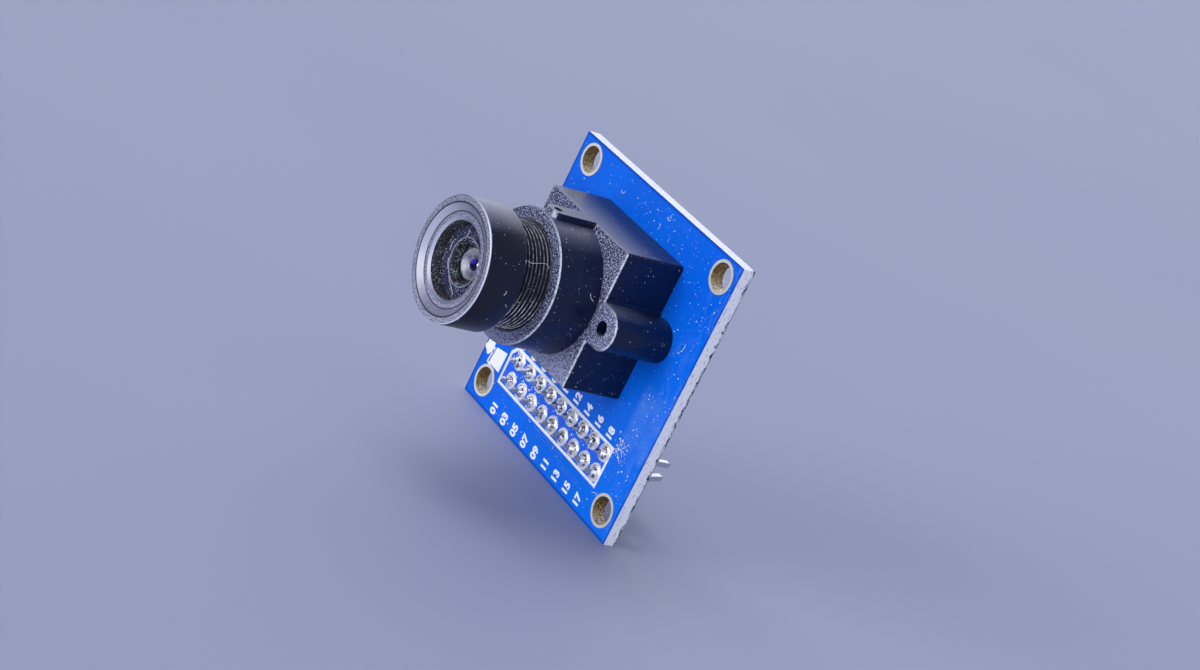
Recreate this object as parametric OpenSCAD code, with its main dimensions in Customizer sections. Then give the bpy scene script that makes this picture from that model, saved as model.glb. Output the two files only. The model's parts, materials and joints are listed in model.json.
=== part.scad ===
// Camera module: a square circuit board that carries a moulded lens holder, a lens that screws in
// and out of it to focus, and a double row of header pins.
// Row frame: X across the board, Z up the board, and the lens looks along -Y.
// The origin is the middle of the four mounting holes, on the back face of the board.
// Each piece is drawn lying down, with the board's back face at z = 0 and the lens pointing up,
// and upright() then stands it in the row frame.

/* [Board] */
// Width of the board
board_w = 34.3; // [34:0.1:38]
// Height of the board
board_h = 34.9; // [34.6:0.1:38]
// Thickness of the board
board_t = 1.6; // [1:0.1:2]
// Height of the board's middle above the middle of the mounting holes
board_shift = -0.15; // [-0.3:0.05:0.3]
// Distance between the mounting holes across the board
hole_pitch_x = 28.8; // [28.4:0.1:30]
// Distance between the mounting holes up the board
hole_pitch_y = 29.7; // [29:0.1:30.5]
// Diameter of a mounting hole inside its plating
mount_hole_d = 3.2; // [2.2:0.1:3.2]
// Outer diameter of the plated ring round a mounting hole
ring_d = 3.9; // [3.6:0.1:4]

/* [Header] */
// Columns of pins
pin_columns = 9; // [2:1:9]
// Distance between neighbouring pins
pin_pitch = 2.54; // [2:0.01:2.54]
// Sideways place of the header's middle
header_x = 0.3; // [0:0.05:0.5]
// Height of the header's middle
header_y = -11; // [-11.2:0.1:-10.6]
// Width of a square pin
pin_w = 0.64; // [0.5:0.02:0.64]
// Reach of the pins behind the board
pin_reach = 8; // [5:0.1:9]
// Reach of the pins in front of the board
pin_tail = 1.4; // [1.2:0.1:2]
// Height of the plastic body
header_h = 2.54; // [1.5:0.01:3]
// Angle by which the last pin of the lower row is bent upwards
pin_bend = 9; // [0:1:12]

/* [Lens holder] */
// Side of the square box
holder_side = 16.9; // [16.5:0.1:17.5]
// Height of the box in front of the board
box_h = 8; // [6.5:0.1:9]
// Height of the whole holder in front of the board
holder_h = 13.9; // [13:0.1:15]
// Diameter of the round threaded barrel
barrel_d = 15.5; // [14.6:0.1:16]
// Height of the optical axis above the origin
axis_y = 4.35; // [4:0.05:4.6]
// Distance between the two screw bosses
boss_pitch = 20; // [20:0.1:21]
// Width of a screw boss
boss_d = 4.9; // [4:0.1:5.2]
// Diameter of the screw hole in a boss
boss_hole_d = 1.74; // [1.5:0.02:2]
// Width of the rib on top of the barrel
rib_w = 2.5; // [2:0.1:3.2]

/* [Lens] */
// Major diameter of the focusing thread
thread_d = 11.94; // [11.9:0.01:11.96]
// Length of thread that shows between the holder and the head
exposed_l = 3.95; // [0.5:0.05:5]
// Length of thread inside the holder
engaged_l = 6.4; // [4:0.1:7]
// Diameter of the lens head
head_d = 14.1; // [13:0.1:15]
// Length of the lens head
head_l = 4.9; // [4.5:0.1:6]
// Diameter of the opening in front of the first glass
front_opening_d = 8.8; // [8:0.1:9.4]

/* [Hidden] */
$fn = 72;

// board
foil_t = 0.04;
pin_drill_r = 0.5;
screw_drill_r = 1.1;
hole_r = mount_hole_d / 2;

// header
header_d = 2 * pin_pitch;
cell_chamfer = 0.45;
pin_tip_l = 0.45;
pin_tip_w = 0.22;
solder_pad_r = 0.95;
solder_top_r = 0.47;
solder_h = 1.1;
solder_hollow = 2.2;
solder_steps = 5;

// holder
corner_r = 0.3;
edge_c = 0.15;
boss_fillet_r = 0.4;
box_top = board_t + box_h;
holder_top = board_t + holder_h;
cavity_side = 13.6;
cavity_top = box_top - 2;
thread_bore_r = 6.02;
bore_mouth_c = 0.3;
rib_nose_gap = 0.15;
rib_hole_r = 0.5;
rib_hole_l = 4;

// holder screws
screw_head_r = 1.75;
screw_head_h = 1.25;
screw_core_r = 0.85;
screw_l = 6;
recess_w = 0.42;
recess_l = 1.9;
recess_deep = 0.75;

// lens, from the rear face of the barrel to the front rim
lens_rear = holder_top - engaged_l;
head_back = holder_top + exposed_l;
rim = head_back + head_l;
thread_r = thread_d / 2;
head_r = head_d / 2;
opening_r = front_opening_d / 2;
undercut_r = 5.6;
undercut_l = 0.45;
head_c = 0.15;
rim_inner_r = 6.2;
step_r = 5.38;
step_deep = 0.45;
ring_r = 5.3;
ring_t = 1.85;
ring_cone_r = 4.78;
ring_cone_deep = 0.2;
fit_gap = 0.03;
baffle_t = 1.2;
baffle_seat = rim - step_deep - ring_t - baffle_t;
glass_bore_r = 3.5;
glass_r = 3.47;
seat_gap = 0.02;
lip_r = 2.4;
lip_z = lens_rear + 1.6;
filter_r = 3.95;
filter_pocket = 0.9;
filter_t = 0.5;
dome_rim_r = 1.75;
dome_bend_r = 2.2;
bowl_r = 2.7;
bowl_bend_r = 3.4;
ridge_r = 2.68;
ridge_w = 0.22;
funnel_r = 2.45;
funnel_deep = 0.85;
funnel_steps = 3;
stack_rear = lip_z + seat_gap;
rear_glass_t = 1.6;
rear_spacer_t = 1.9;
middle_glass_t = 1.5;
stop_t = 0.15;
stop_r = 0.75;
front_spacer_t = 2.6;
spacer_hole_r = 2.9;
cap_r = 2.8;
middle_bend_r = 7;
rear_bend_r = 6;
middle_z = stack_rear + rear_glass_t + rear_spacer_t;
stop_z = middle_z + middle_glass_t;
front_spacer_z = stop_z + stop_t;
front_glass_z = front_spacer_z + front_spacer_t;
front_flange_top = baffle_seat - seat_gap;

// image sensor package
sensor_w = 4.2;
sensor_h = 3.8;
sensor_t = 0.35;
sensor_glass_t = 0.4;
ball_r = 0.16;
ball_h = 0.14;
ball_pitch = 0.7;

// chips on the back: [x, y, 0 for lying across or 90 for standing up]
capacitor_places = [
  [-8.6, 12.4, 90], [-2.6, 13.4, 0], [2.4, 13.4, 0], [8.8, 12.4, 90],
  [-4.4, 3.2, 90], [-2.2, 3.2, 90], [4.6, 3.8, 90], [-6.6, -3.6, 0]
];
resistor_places = [[0.4, 5.6, 0], [0.4, 4.1, 0], [0.4, 2.6, 0], [6.4, -3.6, 0]];
regulator_places = [[-5.2, 9.6], [5.4, 9.6]];
chip_l = 1.6;
chip_w = 0.8;
capacitor_t = 0.8;
resistor_t = 0.45;
chip_end_l = 0.3;
chip_end_rise = 0.02;
regulator_w = 2.9;
regulator_d = 1.3;
regulator_h = 1.0;
regulator_lift = 0.1;
regulator_c = 0.12;
lead_w = 0.4;
lead_t = 0.13;
lead_pitch = 0.95;
lead_foot = 1.25;

pin_count = 2 * pin_columns;
PIN_NODES = [for (i = [1 : pin_count]) str("header_pin_", i)];
CAPACITOR_NODES = [for (i = [1 : len(capacitor_places)]) str("capacitor_", i)];
RESISTOR_NODES = [for (i = [1 : len(resistor_places)]) str("resistor_", i)];

// Places

// stands a piece that is drawn lying down in the row frame
module upright() {
  rotate([90, 0, 0]) children();
}

// moves a piece to the optical axis
module on_axis() {
  translate([0, axis_y, 0]) children();
}

// repeats a piece at the four mounting holes
module at_mounting_holes() {
  for (x = [-1, 1], y = [-1, 1])
    translate([x * hole_pitch_x / 2, y * hole_pitch_y / 2, 0]) children();
}

// the place of pin i, which counts along the lower row and then along the upper row
function pin_place(i) = [
  header_x + ((i - 1) % pin_columns - (pin_columns - 1) / 2) * pin_pitch,
  header_y + (floor((i - 1) / pin_columns) - 0.5) * pin_pitch
];

// Shapes

// a block whose front edges are chamfered, centred on x and y, standing on z = 0
module chamfered_block(size_x, size_y, size_z, chamfer) {
  intersection() {
    rotate([90, 0, 0]) translate([0, 0, -size_y / 2]) linear_extrude(size_y)
      chamfered_profile(size_x, size_z, chamfer);
    rotate([90, 0, 90]) translate([0, 0, -size_x / 2]) linear_extrude(size_x)
      chamfered_profile(size_y, size_z, chamfer);
  }
}

// the section of such a block
module chamfered_profile(width, height, chamfer) {
  half = width / 2;
  polygon([
    [-half, 0], [half, 0], [half, height - chamfer], [half - chamfer, height],
    [chamfer - half, height], [-half, height - chamfer]
  ]);
}

// a rectangle with true round corners
module rounded_rectangle(width, height, radius) {
  square([width - 2 * radius, height], center = true);
  square([width, height - 2 * radius], center = true);
  for (x = [-1, 1], y = [-1, 1])
    translate([x * (width / 2 - radius), y * (height / 2 - radius)]) circle(radius);
}

// a ring with a rectangular section
module plain_ring(outer_r, inner_r, height) {
  rotate_extrude() translate([inner_r, 0]) square([outer_r - inner_r, height]);
}

// a glass with a flat edge and one domed face that starts at cap_r
module domed_glass(edge_r, edge_t, cap_r, bend_r) {
  bend_z = edge_t - sqrt(bend_r * bend_r - cap_r * cap_r);
  cylinder(r = edge_r, h = edge_t);
  intersection() {
    translate([0, 0, bend_z]) sphere(bend_r);
    translate([0, 0, edge_t / 2]) cylinder(r = cap_r, h = bend_r);
  }
}

// Board

module pcb() {
  color("royalblue") upright() difference() {
    translate([-board_w / 2, board_shift - board_h / 2, 0]) cube([board_w, board_h, board_t]);
    at_mounting_holes() board_bore(hole_r + foil_t);
    for (i = [1 : pin_count]) translate(pin_place(i)) board_bore(pin_drill_r);
    for (x = [-1, 1]) translate([x * boss_pitch / 2, axis_y]) board_bore(screw_drill_r);
  }
}

// a drill through the board
module board_bore(radius) {
  translate([0, 0, -1]) cylinder(r = radius, h = board_t + 2);
}

// the plating of one hole: a thin tube with a flat ring on each face of the board
module plated_holes() {
  color("khaki") upright() at_mounting_holes() rotate_extrude() polygon([
    [hole_r, -foil_t], [ring_d / 2, -foil_t], [ring_d / 2, 0], [hole_r + foil_t, 0],
    [hole_r + foil_t, board_t], [ring_d / 2, board_t], [ring_d / 2, board_t + foil_t],
    [hole_r, board_t + foil_t]
  ]);
}

// Header

// one cell of the plastic body for each column, with its corners cut off
module header_body() {
  half = pin_pitch / 2;
  flat = half - cell_chamfer;
  color([0.05, 0.05, 0.06]) upright() translate([0, 0, -header_h]) linear_extrude(header_h)
    difference() {
      for (i = [1 : pin_columns]) translate([pin_place(i)[0], header_y]) polygon([
        [-half, cell_chamfer - header_d / 2], [-flat, -header_d / 2], [flat, -header_d / 2],
        [half, cell_chamfer - header_d / 2], [half, header_d / 2 - cell_chamfer],
        [flat, header_d / 2], [-flat, header_d / 2], [-half, header_d / 2 - cell_chamfer]
      ]);
      for (i = [1 : pin_count]) translate(pin_place(i)) square(pin_w, center = true);
    }
}

// a square bar from z = 0 up to its tapered end
module pointed_bar(length) {
  profile = [
    [-pin_w / 2, 0], [pin_w / 2, 0], [pin_w / 2, length - pin_tip_l], [pin_tip_w / 2, length],
    [-pin_tip_w / 2, length], [-pin_w / 2, length - pin_tip_l]
  ];
  intersection() {
    rotate([90, 0, 0]) linear_extrude(pin_w, center = true) polygon(profile);
    rotate([90, 0, 90]) linear_extrude(pin_w, center = true) polygon(profile);
  }
}

// pin i is pressed through the body, and the last one of the lower row is bent upwards behind it
module header_pin(i) {
  bend = i == pin_columns ? pin_bend : 0;
  straight = header_h + pin_w / 2;
  color("silver") upright() translate(pin_place(i)) {
    translate([0, 0, -straight]) pointed_bar(straight + board_t + pin_tail);
    translate([0, 0, -header_h]) mirror([0, 0, 1]) rotate([-bend, 0, 0])
      pointed_bar(pin_reach - header_h);
  }
}

// the solder of each pin fills its hole and rises round it in a hollow cone
module solder_joints() {
  cone = [for (k = [0 : solder_steps]) let (t = k / solder_steps) [
    solder_top_r + (solder_pad_r - solder_top_r) * pow(1 - t, solder_hollow),
    board_t + t * solder_h
  ]];
  outline = concat([[0, 0], [pin_drill_r, 0], [pin_drill_r, board_t]], cone,
    [[0, board_t + solder_h]]);
  color("gainsboro") upright() for (i = [1 : pin_count]) translate(pin_place(i)) difference() {
    rotate_extrude() polygon(outline);
    translate([0, 0, board_t / 2]) cube([pin_w, pin_w, 4 * board_t], center = true);
  }
}

// Lens holder

module lens_holder() {
  color([0.09, 0.09, 0.1]) upright() on_axis() difference() {
    union() {
      holder_box();
      for (side = [0, 180]) rotate(side) screw_boss();
      holder_barrel();
      locking_rib();
    }
    holder_hollow();
    for (x = [-1, 1]) translate([x * boss_pitch / 2, 0, 0])
      cylinder(d = boss_hole_d, h = holder_top);
    translate([0, holder_side / 2 + 1, holder_top - rib_nose_gap - rib_w / 2])
      rotate([90, 0, 0]) cylinder(r = rib_hole_r, h = rib_hole_l);
  }
}

// the square box, with round upright corners and chamfered front edges
module holder_box() {
  translate([0, 0, board_t]) intersection() {
    linear_extrude(box_h) rounded_rectangle(holder_side, holder_side, corner_r);
    chamfered_block(holder_side, holder_side, box_h, edge_c);
  }
}

// a boss beside the box: a round post that runs back to the box with straight sides
module screw_boss() {
  boss_r = boss_d / 2;
  inner_x = holder_side / 2 - 1;
  fillet_x = holder_side / 2 + boss_fillet_r;
  fillet_y = boss_r + boss_fillet_r;
  translate([boss_pitch / 2, 0, board_t]) {
    cylinder(r = boss_r, h = box_h - edge_c);
    translate([0, 0, box_h - edge_c]) cylinder(r1 = boss_r, r2 = boss_r - edge_c, h = edge_c);
  }
  translate([inner_x, 0, board_t]) rotate([90, 0, 90]) linear_extrude(boss_pitch / 2 - inner_x)
    chamfered_profile(boss_d, box_h, edge_c);
  for (y = [-1, 1]) translate([0, 0, board_t]) linear_extrude(box_h - edge_c) difference() {
    translate([inner_x, y > 0 ? boss_r - 0.5 : -fillet_y])
      square([fillet_x - inner_x, boss_fillet_r + 0.5]);
    translate([fillet_x, y * fillet_y]) circle(boss_fillet_r);
  }
}

// the round barrel, with a chamfered front edge
module holder_barrel() {
  barrel_r = barrel_d / 2;
  rotate_extrude() polygon([
    [0, cavity_top], [barrel_r, cavity_top], [barrel_r, holder_top - edge_c],
    [barrel_r - edge_c, holder_top], [0, holder_top]
  ]);
}

// the flat rib on the barrel, level with the top of the box and round at its front end
module locking_rib() {
  nose_r = rib_w / 2;
  nose_z = holder_top - rib_nose_gap - nose_r;
  rib_low = barrel_d / 2 - 1;
  rib_top = holder_side / 2;
  translate([0, rib_top, 0]) rotate([90, 0, 0]) linear_extrude(rib_top - rib_low) {
    translate([-nose_r, cavity_top]) square([rib_w, nose_z - cavity_top]);
    translate([0, nose_z]) circle(nose_r);
  }
}

// the threaded bore and the dark chamber over the image sensor
module holder_hollow() {
  translate([0, 0, board_t - 1]) linear_extrude(cavity_top - board_t + 1)
    rounded_rectangle(cavity_side, cavity_side, corner_r);
  rotate_extrude() polygon([
    [0, cavity_top - 1], [thread_bore_r, cavity_top - 1], [thread_bore_r, holder_top - bore_mouth_c],
    [thread_bore_r + bore_mouth_c, holder_top], [thread_bore_r + bore_mouth_c, holder_top + 1],
    [0, holder_top + 1]
  ]);
}

// a screw from the back of the board into a boss, with a cross recess in its domed head
module holder_screw(side) {
  dome_r = (pow(screw_head_r, 2) + pow(screw_head_h, 2)) / (2 * screw_head_h);
  color([0.16, 0.16, 0.17]) upright() on_axis() translate([side * boss_pitch / 2, 0, 0]) {
    cylinder(r = screw_core_r, h = screw_l);
    difference() {
      intersection() {
        translate([0, 0, dome_r - screw_head_h]) sphere(dome_r);
        translate([0, 0, -screw_head_h]) cylinder(r = screw_head_r, h = screw_head_h);
      }
      for (turn = [45, 135]) rotate(turn) translate([0, 0, -screw_head_h])
        cube([recess_l, recess_w, 2 * recess_deep], center = true);
    }
  }
}

// Lens

// the turned barrel: threaded tube, undercut, head, stepped rim and the bores inside
module lens_barrel() {
  rear_c = 0.35;
  color([0.07, 0.07, 0.08]) upright() on_axis() rotate_extrude() polygon([
    [filter_r + 0.05, lens_rear], [thread_r - rear_c, lens_rear], [thread_r, lens_rear + rear_c],
    [thread_r, head_back - undercut_l], [undercut_r, head_back - undercut_l],
    [undercut_r, head_back], [head_r - head_c, head_back], [head_r, head_back + head_c],
    [head_r, rim - head_c], [head_r - head_c, rim], [rim_inner_r, rim],
    [step_r, rim - step_deep], [ring_r, rim - step_deep], [ring_r, baffle_seat],
    [glass_bore_r, baffle_seat], [glass_bore_r, lip_z], [lip_r, lip_z],
    [lip_r, lens_rear + filter_pocket], [filter_r + 0.05, lens_rear + filter_pocket]
  ]);
}

// the ring that clamps the baffle and the glasses in the head, coned towards the opening
module front_ring() {
  outer_r = ring_r - fit_gap;
  color([0.13, 0.13, 0.14]) upright() on_axis() translate([0, 0, baffle_seat + baffle_t])
    rotate_extrude() polygon([
      [opening_r, 0], [outer_r, 0], [outer_r, ring_t], [ring_cone_r, ring_t],
      [opening_r, ring_t - ring_cone_deep]
    ]);
}

// the dished baffle: flat floor, raised ridge and a stepped funnel down to the glass
module front_baffle() {
  tread = (funnel_r - dome_rim_r) / funnel_steps;
  riser = funnel_deep / funnel_steps;
  riser_lean = 0.4 * tread;
  stairs = [for (k = [0 : funnel_steps - 1], edge = [0, 1])
    [funnel_r - k * tread - edge * riser_lean, baffle_t - (k + edge) * riser]];
  color([0.06, 0.06, 0.07]) upright() on_axis() translate([0, 0, baffle_seat])
    rotate_extrude() polygon(concat(
      [
        [dome_rim_r, 0], [ring_r - fit_gap, 0], [ring_r - fit_gap, baffle_t],
        [ridge_r + ridge_w, baffle_t], [ridge_r, baffle_t + ridge_w]
      ],
      stairs,
      [[dome_rim_r, baffle_t - funnel_deep]]
    ));
}

// the first glass, a round cap in front and a hollow bowl behind
module front_element() {
  flange_t = front_flange_top - front_glass_z;
  rim_z = baffle_t - funnel_deep;
  bend_z = rim_z - sqrt(pow(dome_bend_r, 2) - pow(dome_rim_r, 2));
  bowl_bend_z = front_glass_z - sqrt(pow(bowl_bend_r, 2) - pow(bowl_r, 2));
  color([0.6, 0.65, 0.8]) upright() on_axis() difference() {
    union() {
      translate([0, 0, front_glass_z]) cylinder(r = glass_r, h = flange_t);
      translate([0, 0, baffle_seat]) intersection() {
        translate([0, 0, bend_z]) sphere(dome_bend_r);
        translate([0, 0, -flange_t / 2]) cylinder(r = dome_rim_r - fit_gap, h = 2 * dome_bend_r);
      }
    }
    translate([0, 0, bowl_bend_z]) sphere(bowl_bend_r);
  }
}

module front_spacer() {
  color([0.1, 0.1, 0.1]) upright() on_axis() translate([0, 0, front_spacer_z])
    plain_ring(glass_r, spacer_hole_r, front_spacer_t);
}

module aperture_stop() {
  color([0.03, 0.03, 0.03]) upright() on_axis() translate([0, 0, stop_z])
    plain_ring(glass_r, stop_r, stop_t);
}

module middle_element() {
  color([0.6, 0.7, 0.75]) upright() on_axis() translate([0, 0, stop_z]) mirror([0, 0, 1])
    domed_glass(glass_r, middle_glass_t, cap_r, middle_bend_r);
}

module rear_spacer() {
  color([0.1, 0.1, 0.1]) upright() on_axis() translate([0, 0, stack_rear + rear_glass_t])
    plain_ring(glass_r, spacer_hole_r, rear_spacer_t);
}

module rear_element() {
  color([0.6, 0.7, 0.75]) upright() on_axis() translate([0, 0, stack_rear])
    domed_glass(glass_r, rear_glass_t, cap_r, rear_bend_r);
}

// the filter is glued in a pocket at the rear end of the barrel
module ir_filter() {
  color([0.7, 0.5, 0.5]) upright() on_axis()
    translate([0, 0, lens_rear + filter_pocket - filter_t]) cylinder(r = filter_r, h = filter_t);
}

// Image sensor

module image_sensor() {
  color([0.3, 0.32, 0.3]) upright() on_axis() translate([0, 0, board_t + ball_h + sensor_t / 2])
    cube([sensor_w, sensor_h, sensor_t], center = true);
}

module sensor_glass() {
  color([0.7, 0.8, 0.8]) upright() on_axis()
    translate([0, 0, board_t + ball_h + sensor_t + sensor_glass_t / 2])
      cube([sensor_w, sensor_h, sensor_glass_t], center = true);
}

// the flattened solder balls under the sensor
module sensor_balls() {
  color("gainsboro") upright() on_axis() for (x = [-2.5 : 2.5], y = [-2 : 2])
    translate([x * ball_pitch, y * ball_pitch, board_t]) cylinder(r = ball_r, h = ball_h);
}

// Chips on the back

// stands a chip on the back face at a place from the lists
module on_back(place) {
  translate([place[0], place[1], 0]) rotate(len(place) > 2 ? place[2] : 0)
    mirror([0, 0, 1]) children();
}

// a chip with a soldered cap on each end
module end_capped_chip(height) {
  middle_l = chip_l - 2 * chip_end_l;
  middle_w = chip_w - 2 * chip_end_rise;
  translate([-middle_l / 2, -middle_w / 2, 0])
    cube([middle_l, middle_w, height - chip_end_rise]);
  for (x = [-1, 1]) translate([x * (chip_l - chip_end_l) / 2, 0, height / 2])
    cube([chip_end_l, chip_w, height], center = true);
}

module capacitor(i) {
  color([0.62, 0.5, 0.36]) upright() on_back(capacitor_places[i - 1])
    end_capped_chip(capacitor_t);
}

module resistor(i) {
  color([0.12, 0.12, 0.13]) upright() on_back(resistor_places[i - 1])
    end_capped_chip(resistor_t);
}

// the moulded body stands clear of the board on its legs
module regulator(i) {
  color([0.1, 0.1, 0.11]) upright() on_back(regulator_places[i - 1])
    translate([0, 0, regulator_lift])
      chamfered_block(regulator_w, regulator_d, regulator_h, regulator_c);
}

// three legs bend down from the body's sides to the board: two below and one above
module regulator_leads(i) {
  color("silver") upright() on_back(regulator_places[i - 1]) {
    for (x = [-1, 1]) translate([x * lead_pitch, 0, 0]) gull_wing(-1);
    gull_wing(1);
  }
}

module gull_wing(side) {
  knee_z = regulator_lift + regulator_h / 2;
  start_y = regulator_d / 2;
  knee_y = start_y + 0.2;
  heel_y = knee_y + 0.1;
  scale([1, side, 1]) rotate([90, 0, 90]) linear_extrude(lead_w, center = true) polygon([
    [start_y, knee_z], [knee_y, knee_z], [heel_y, lead_t], [lead_foot, lead_t], [lead_foot, 0],
    [heel_y - lead_t, 0], [knee_y - lead_t, knee_z - lead_t], [start_y, knee_z - lead_t]
  ]);
}

pcb();
plated_holes();
header_body();
for (i = [1 : pin_count])
  header_pin(i);
solder_joints();
lens_holder();
holder_screw(-1);  // holder_screw_left
holder_screw(1);  // holder_screw_right
lens_barrel();
front_ring();
front_baffle();
front_element();
front_spacer();
aperture_stop();
middle_element();
rear_spacer();
rear_element();
ir_filter();
image_sensor();
sensor_glass();
sensor_balls();
regulator(1);  // regulator_1
regulator(2);  // regulator_2
regulator_leads(1);  // regulator_1_leads
regulator_leads(2);  // regulator_2_leads
for (i = [1 : len(capacitor_places)])
  capacitor(i);
for (i = [1 : len(resistor_places)])
  resistor(i);
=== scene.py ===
import json
import math

import bmesh
import bpy
from mathutils import Matrix, Quaternion, Vector, noise


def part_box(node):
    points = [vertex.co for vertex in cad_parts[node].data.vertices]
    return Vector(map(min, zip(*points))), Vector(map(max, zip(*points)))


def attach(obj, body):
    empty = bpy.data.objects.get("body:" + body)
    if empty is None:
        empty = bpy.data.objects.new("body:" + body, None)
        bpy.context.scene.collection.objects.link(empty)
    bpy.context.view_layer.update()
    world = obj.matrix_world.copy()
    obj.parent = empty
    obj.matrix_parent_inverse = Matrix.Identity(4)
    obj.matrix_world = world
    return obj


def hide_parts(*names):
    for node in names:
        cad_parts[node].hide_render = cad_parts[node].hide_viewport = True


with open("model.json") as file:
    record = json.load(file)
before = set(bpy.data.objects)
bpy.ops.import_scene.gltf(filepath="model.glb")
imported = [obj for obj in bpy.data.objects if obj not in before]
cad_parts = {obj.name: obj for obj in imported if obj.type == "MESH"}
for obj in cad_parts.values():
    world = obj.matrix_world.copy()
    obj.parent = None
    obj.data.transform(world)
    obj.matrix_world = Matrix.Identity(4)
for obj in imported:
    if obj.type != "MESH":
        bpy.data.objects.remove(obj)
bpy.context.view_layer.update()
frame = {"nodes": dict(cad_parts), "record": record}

MM = 0.001
TAU = 2 * math.pi
BOARD, LENS = "board", "lens"

# ------------------------------------------------------------------ camera
# It looks at the module from the lens side and the right, a little from above, and is rolled.
AZIMUTH, ELEVATION, ROLL = 49.65, 16.74, 26.48
DISTANCE = 291.06 * MM
AIM = Vector((-0.34, -0.63, -0.49)) * MM
FOCAL, SENSOR = 77.51, 36.0


def direction(azimuth, elevation):
    """The unit vector from the object to a lamp or camera, in degrees."""
    a, e = math.radians(azimuth), math.radians(elevation)
    return Vector((math.sin(a) * math.cos(e), -math.cos(a) * math.cos(e), math.sin(e)))


def show(thing):
    bpy.context.scene.collection.objects.link(thing)


def add_camera():
    data = bpy.data.cameras.new("camera")
    data.lens, data.sensor_width = FOCAL, SENSOR
    data.clip_start, data.clip_end = 1 * MM, 20.0
    made = bpy.data.objects.new("camera", data)
    back = direction(AZIMUTH, ELEVATION)
    made.location = AIM + back * DISTANCE
    made.rotation_mode = "QUATERNION"
    level = (-back).to_track_quat("-Z", "Y")
    made.rotation_quaternion = level @ Quaternion((0, 0, 1), math.radians(ROLL))
    show(made)
    bpy.context.scene.camera = made


add_camera()

# ------------------------------------------------------------------ places and sizes, mm
def box_of(node):
    return [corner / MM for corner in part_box(node)]


def middle_of(node):
    """The middle of a node's box, laid on the board's back face."""
    low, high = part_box(node)
    return Vector(((low.x + high.x) / 2, 0, (low.z + high.z) / 2)) / MM


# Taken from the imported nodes. The board's back face lies in Y = 0 and its front in Y = -BOARD_T.
board_low, board_high = box_of("pcb")
BOARD_T = board_high.y - board_low.y
FRONT = -BOARD_T
AXIS_Z = middle_of("lens_barrel").z
RIM_Y, REAR_Y = [corner.y for corner in box_of("lens_barrel")]
HOLDER_FRONT_Y = box_of("lens_holder")[0].y
PINS = [middle_of(f"header_pin_{i}") for i in range(1, 19)]
PINS[8].z = PINS[7].z  # the bent pin's box is wider than its place in the board
PINS_A_ROW = 9
MOUNT_X, MOUNT_Z, MOUNT_DRILL_R = 14.4, 14.85, 1.64
PIN_DRILL_R = 0.5
SCREW_X, SCREW_DRILL_R = 10, 1.1
THREAD_PITCH, THREAD_CREST, THREAD_ROOT = 0.5, 5.96, 5.68
UNDERCUT = 0.45
HEAD_BACK = -RIM_Y - 4.9
# the way that was up as the module leaned on its corner, where the painted light comes from: faces turned
# this way get painted sheen and highlights, faces turned away painted shade
PAINTED_LIGHT_SIDE = (-0.485, -0.173, 0.857)


def off_axis(spot):
    """The distance of a spot from the lens axis."""
    return math.hypot(spot.x, spot.z - AXIS_Z)


# ------------------------------------------------------------------ materials
def linear(colour):
    """A linear colour from an sRGB hex value."""
    parts = [int(colour[i : i + 2], 16) / 255 for i in (1, 3, 5)]
    return [p / 12.92 if p <= 0.04045 else ((p + 0.055) / 1.055) ** 2.4 for p in parts] + [1]


def add(tree, kind, inputs=None, out=0, **settings):
    """Adds one node with its settings and returns an output of it, the first unless out says which.
    Each input gets a value, or a link from another node's output."""
    made = tree.nodes.new(kind)
    for name, value in settings.items():
        setattr(made, name, value)
    for name, value in (inputs or {}).items():
        if isinstance(value, bpy.types.NodeSocket):
            tree.links.new(value, made.inputs[name])
        else:
            made.inputs[name].default_value = value
    return made.outputs[out] if made.outputs else None


# sockets of a Mix node that mixes colours, and of one that mixes numbers
COLOUR_A, COLOUR_B, COLOUR_OUT = 6, 7, 2
NUMBER_A, NUMBER_B = 2, 3


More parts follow.
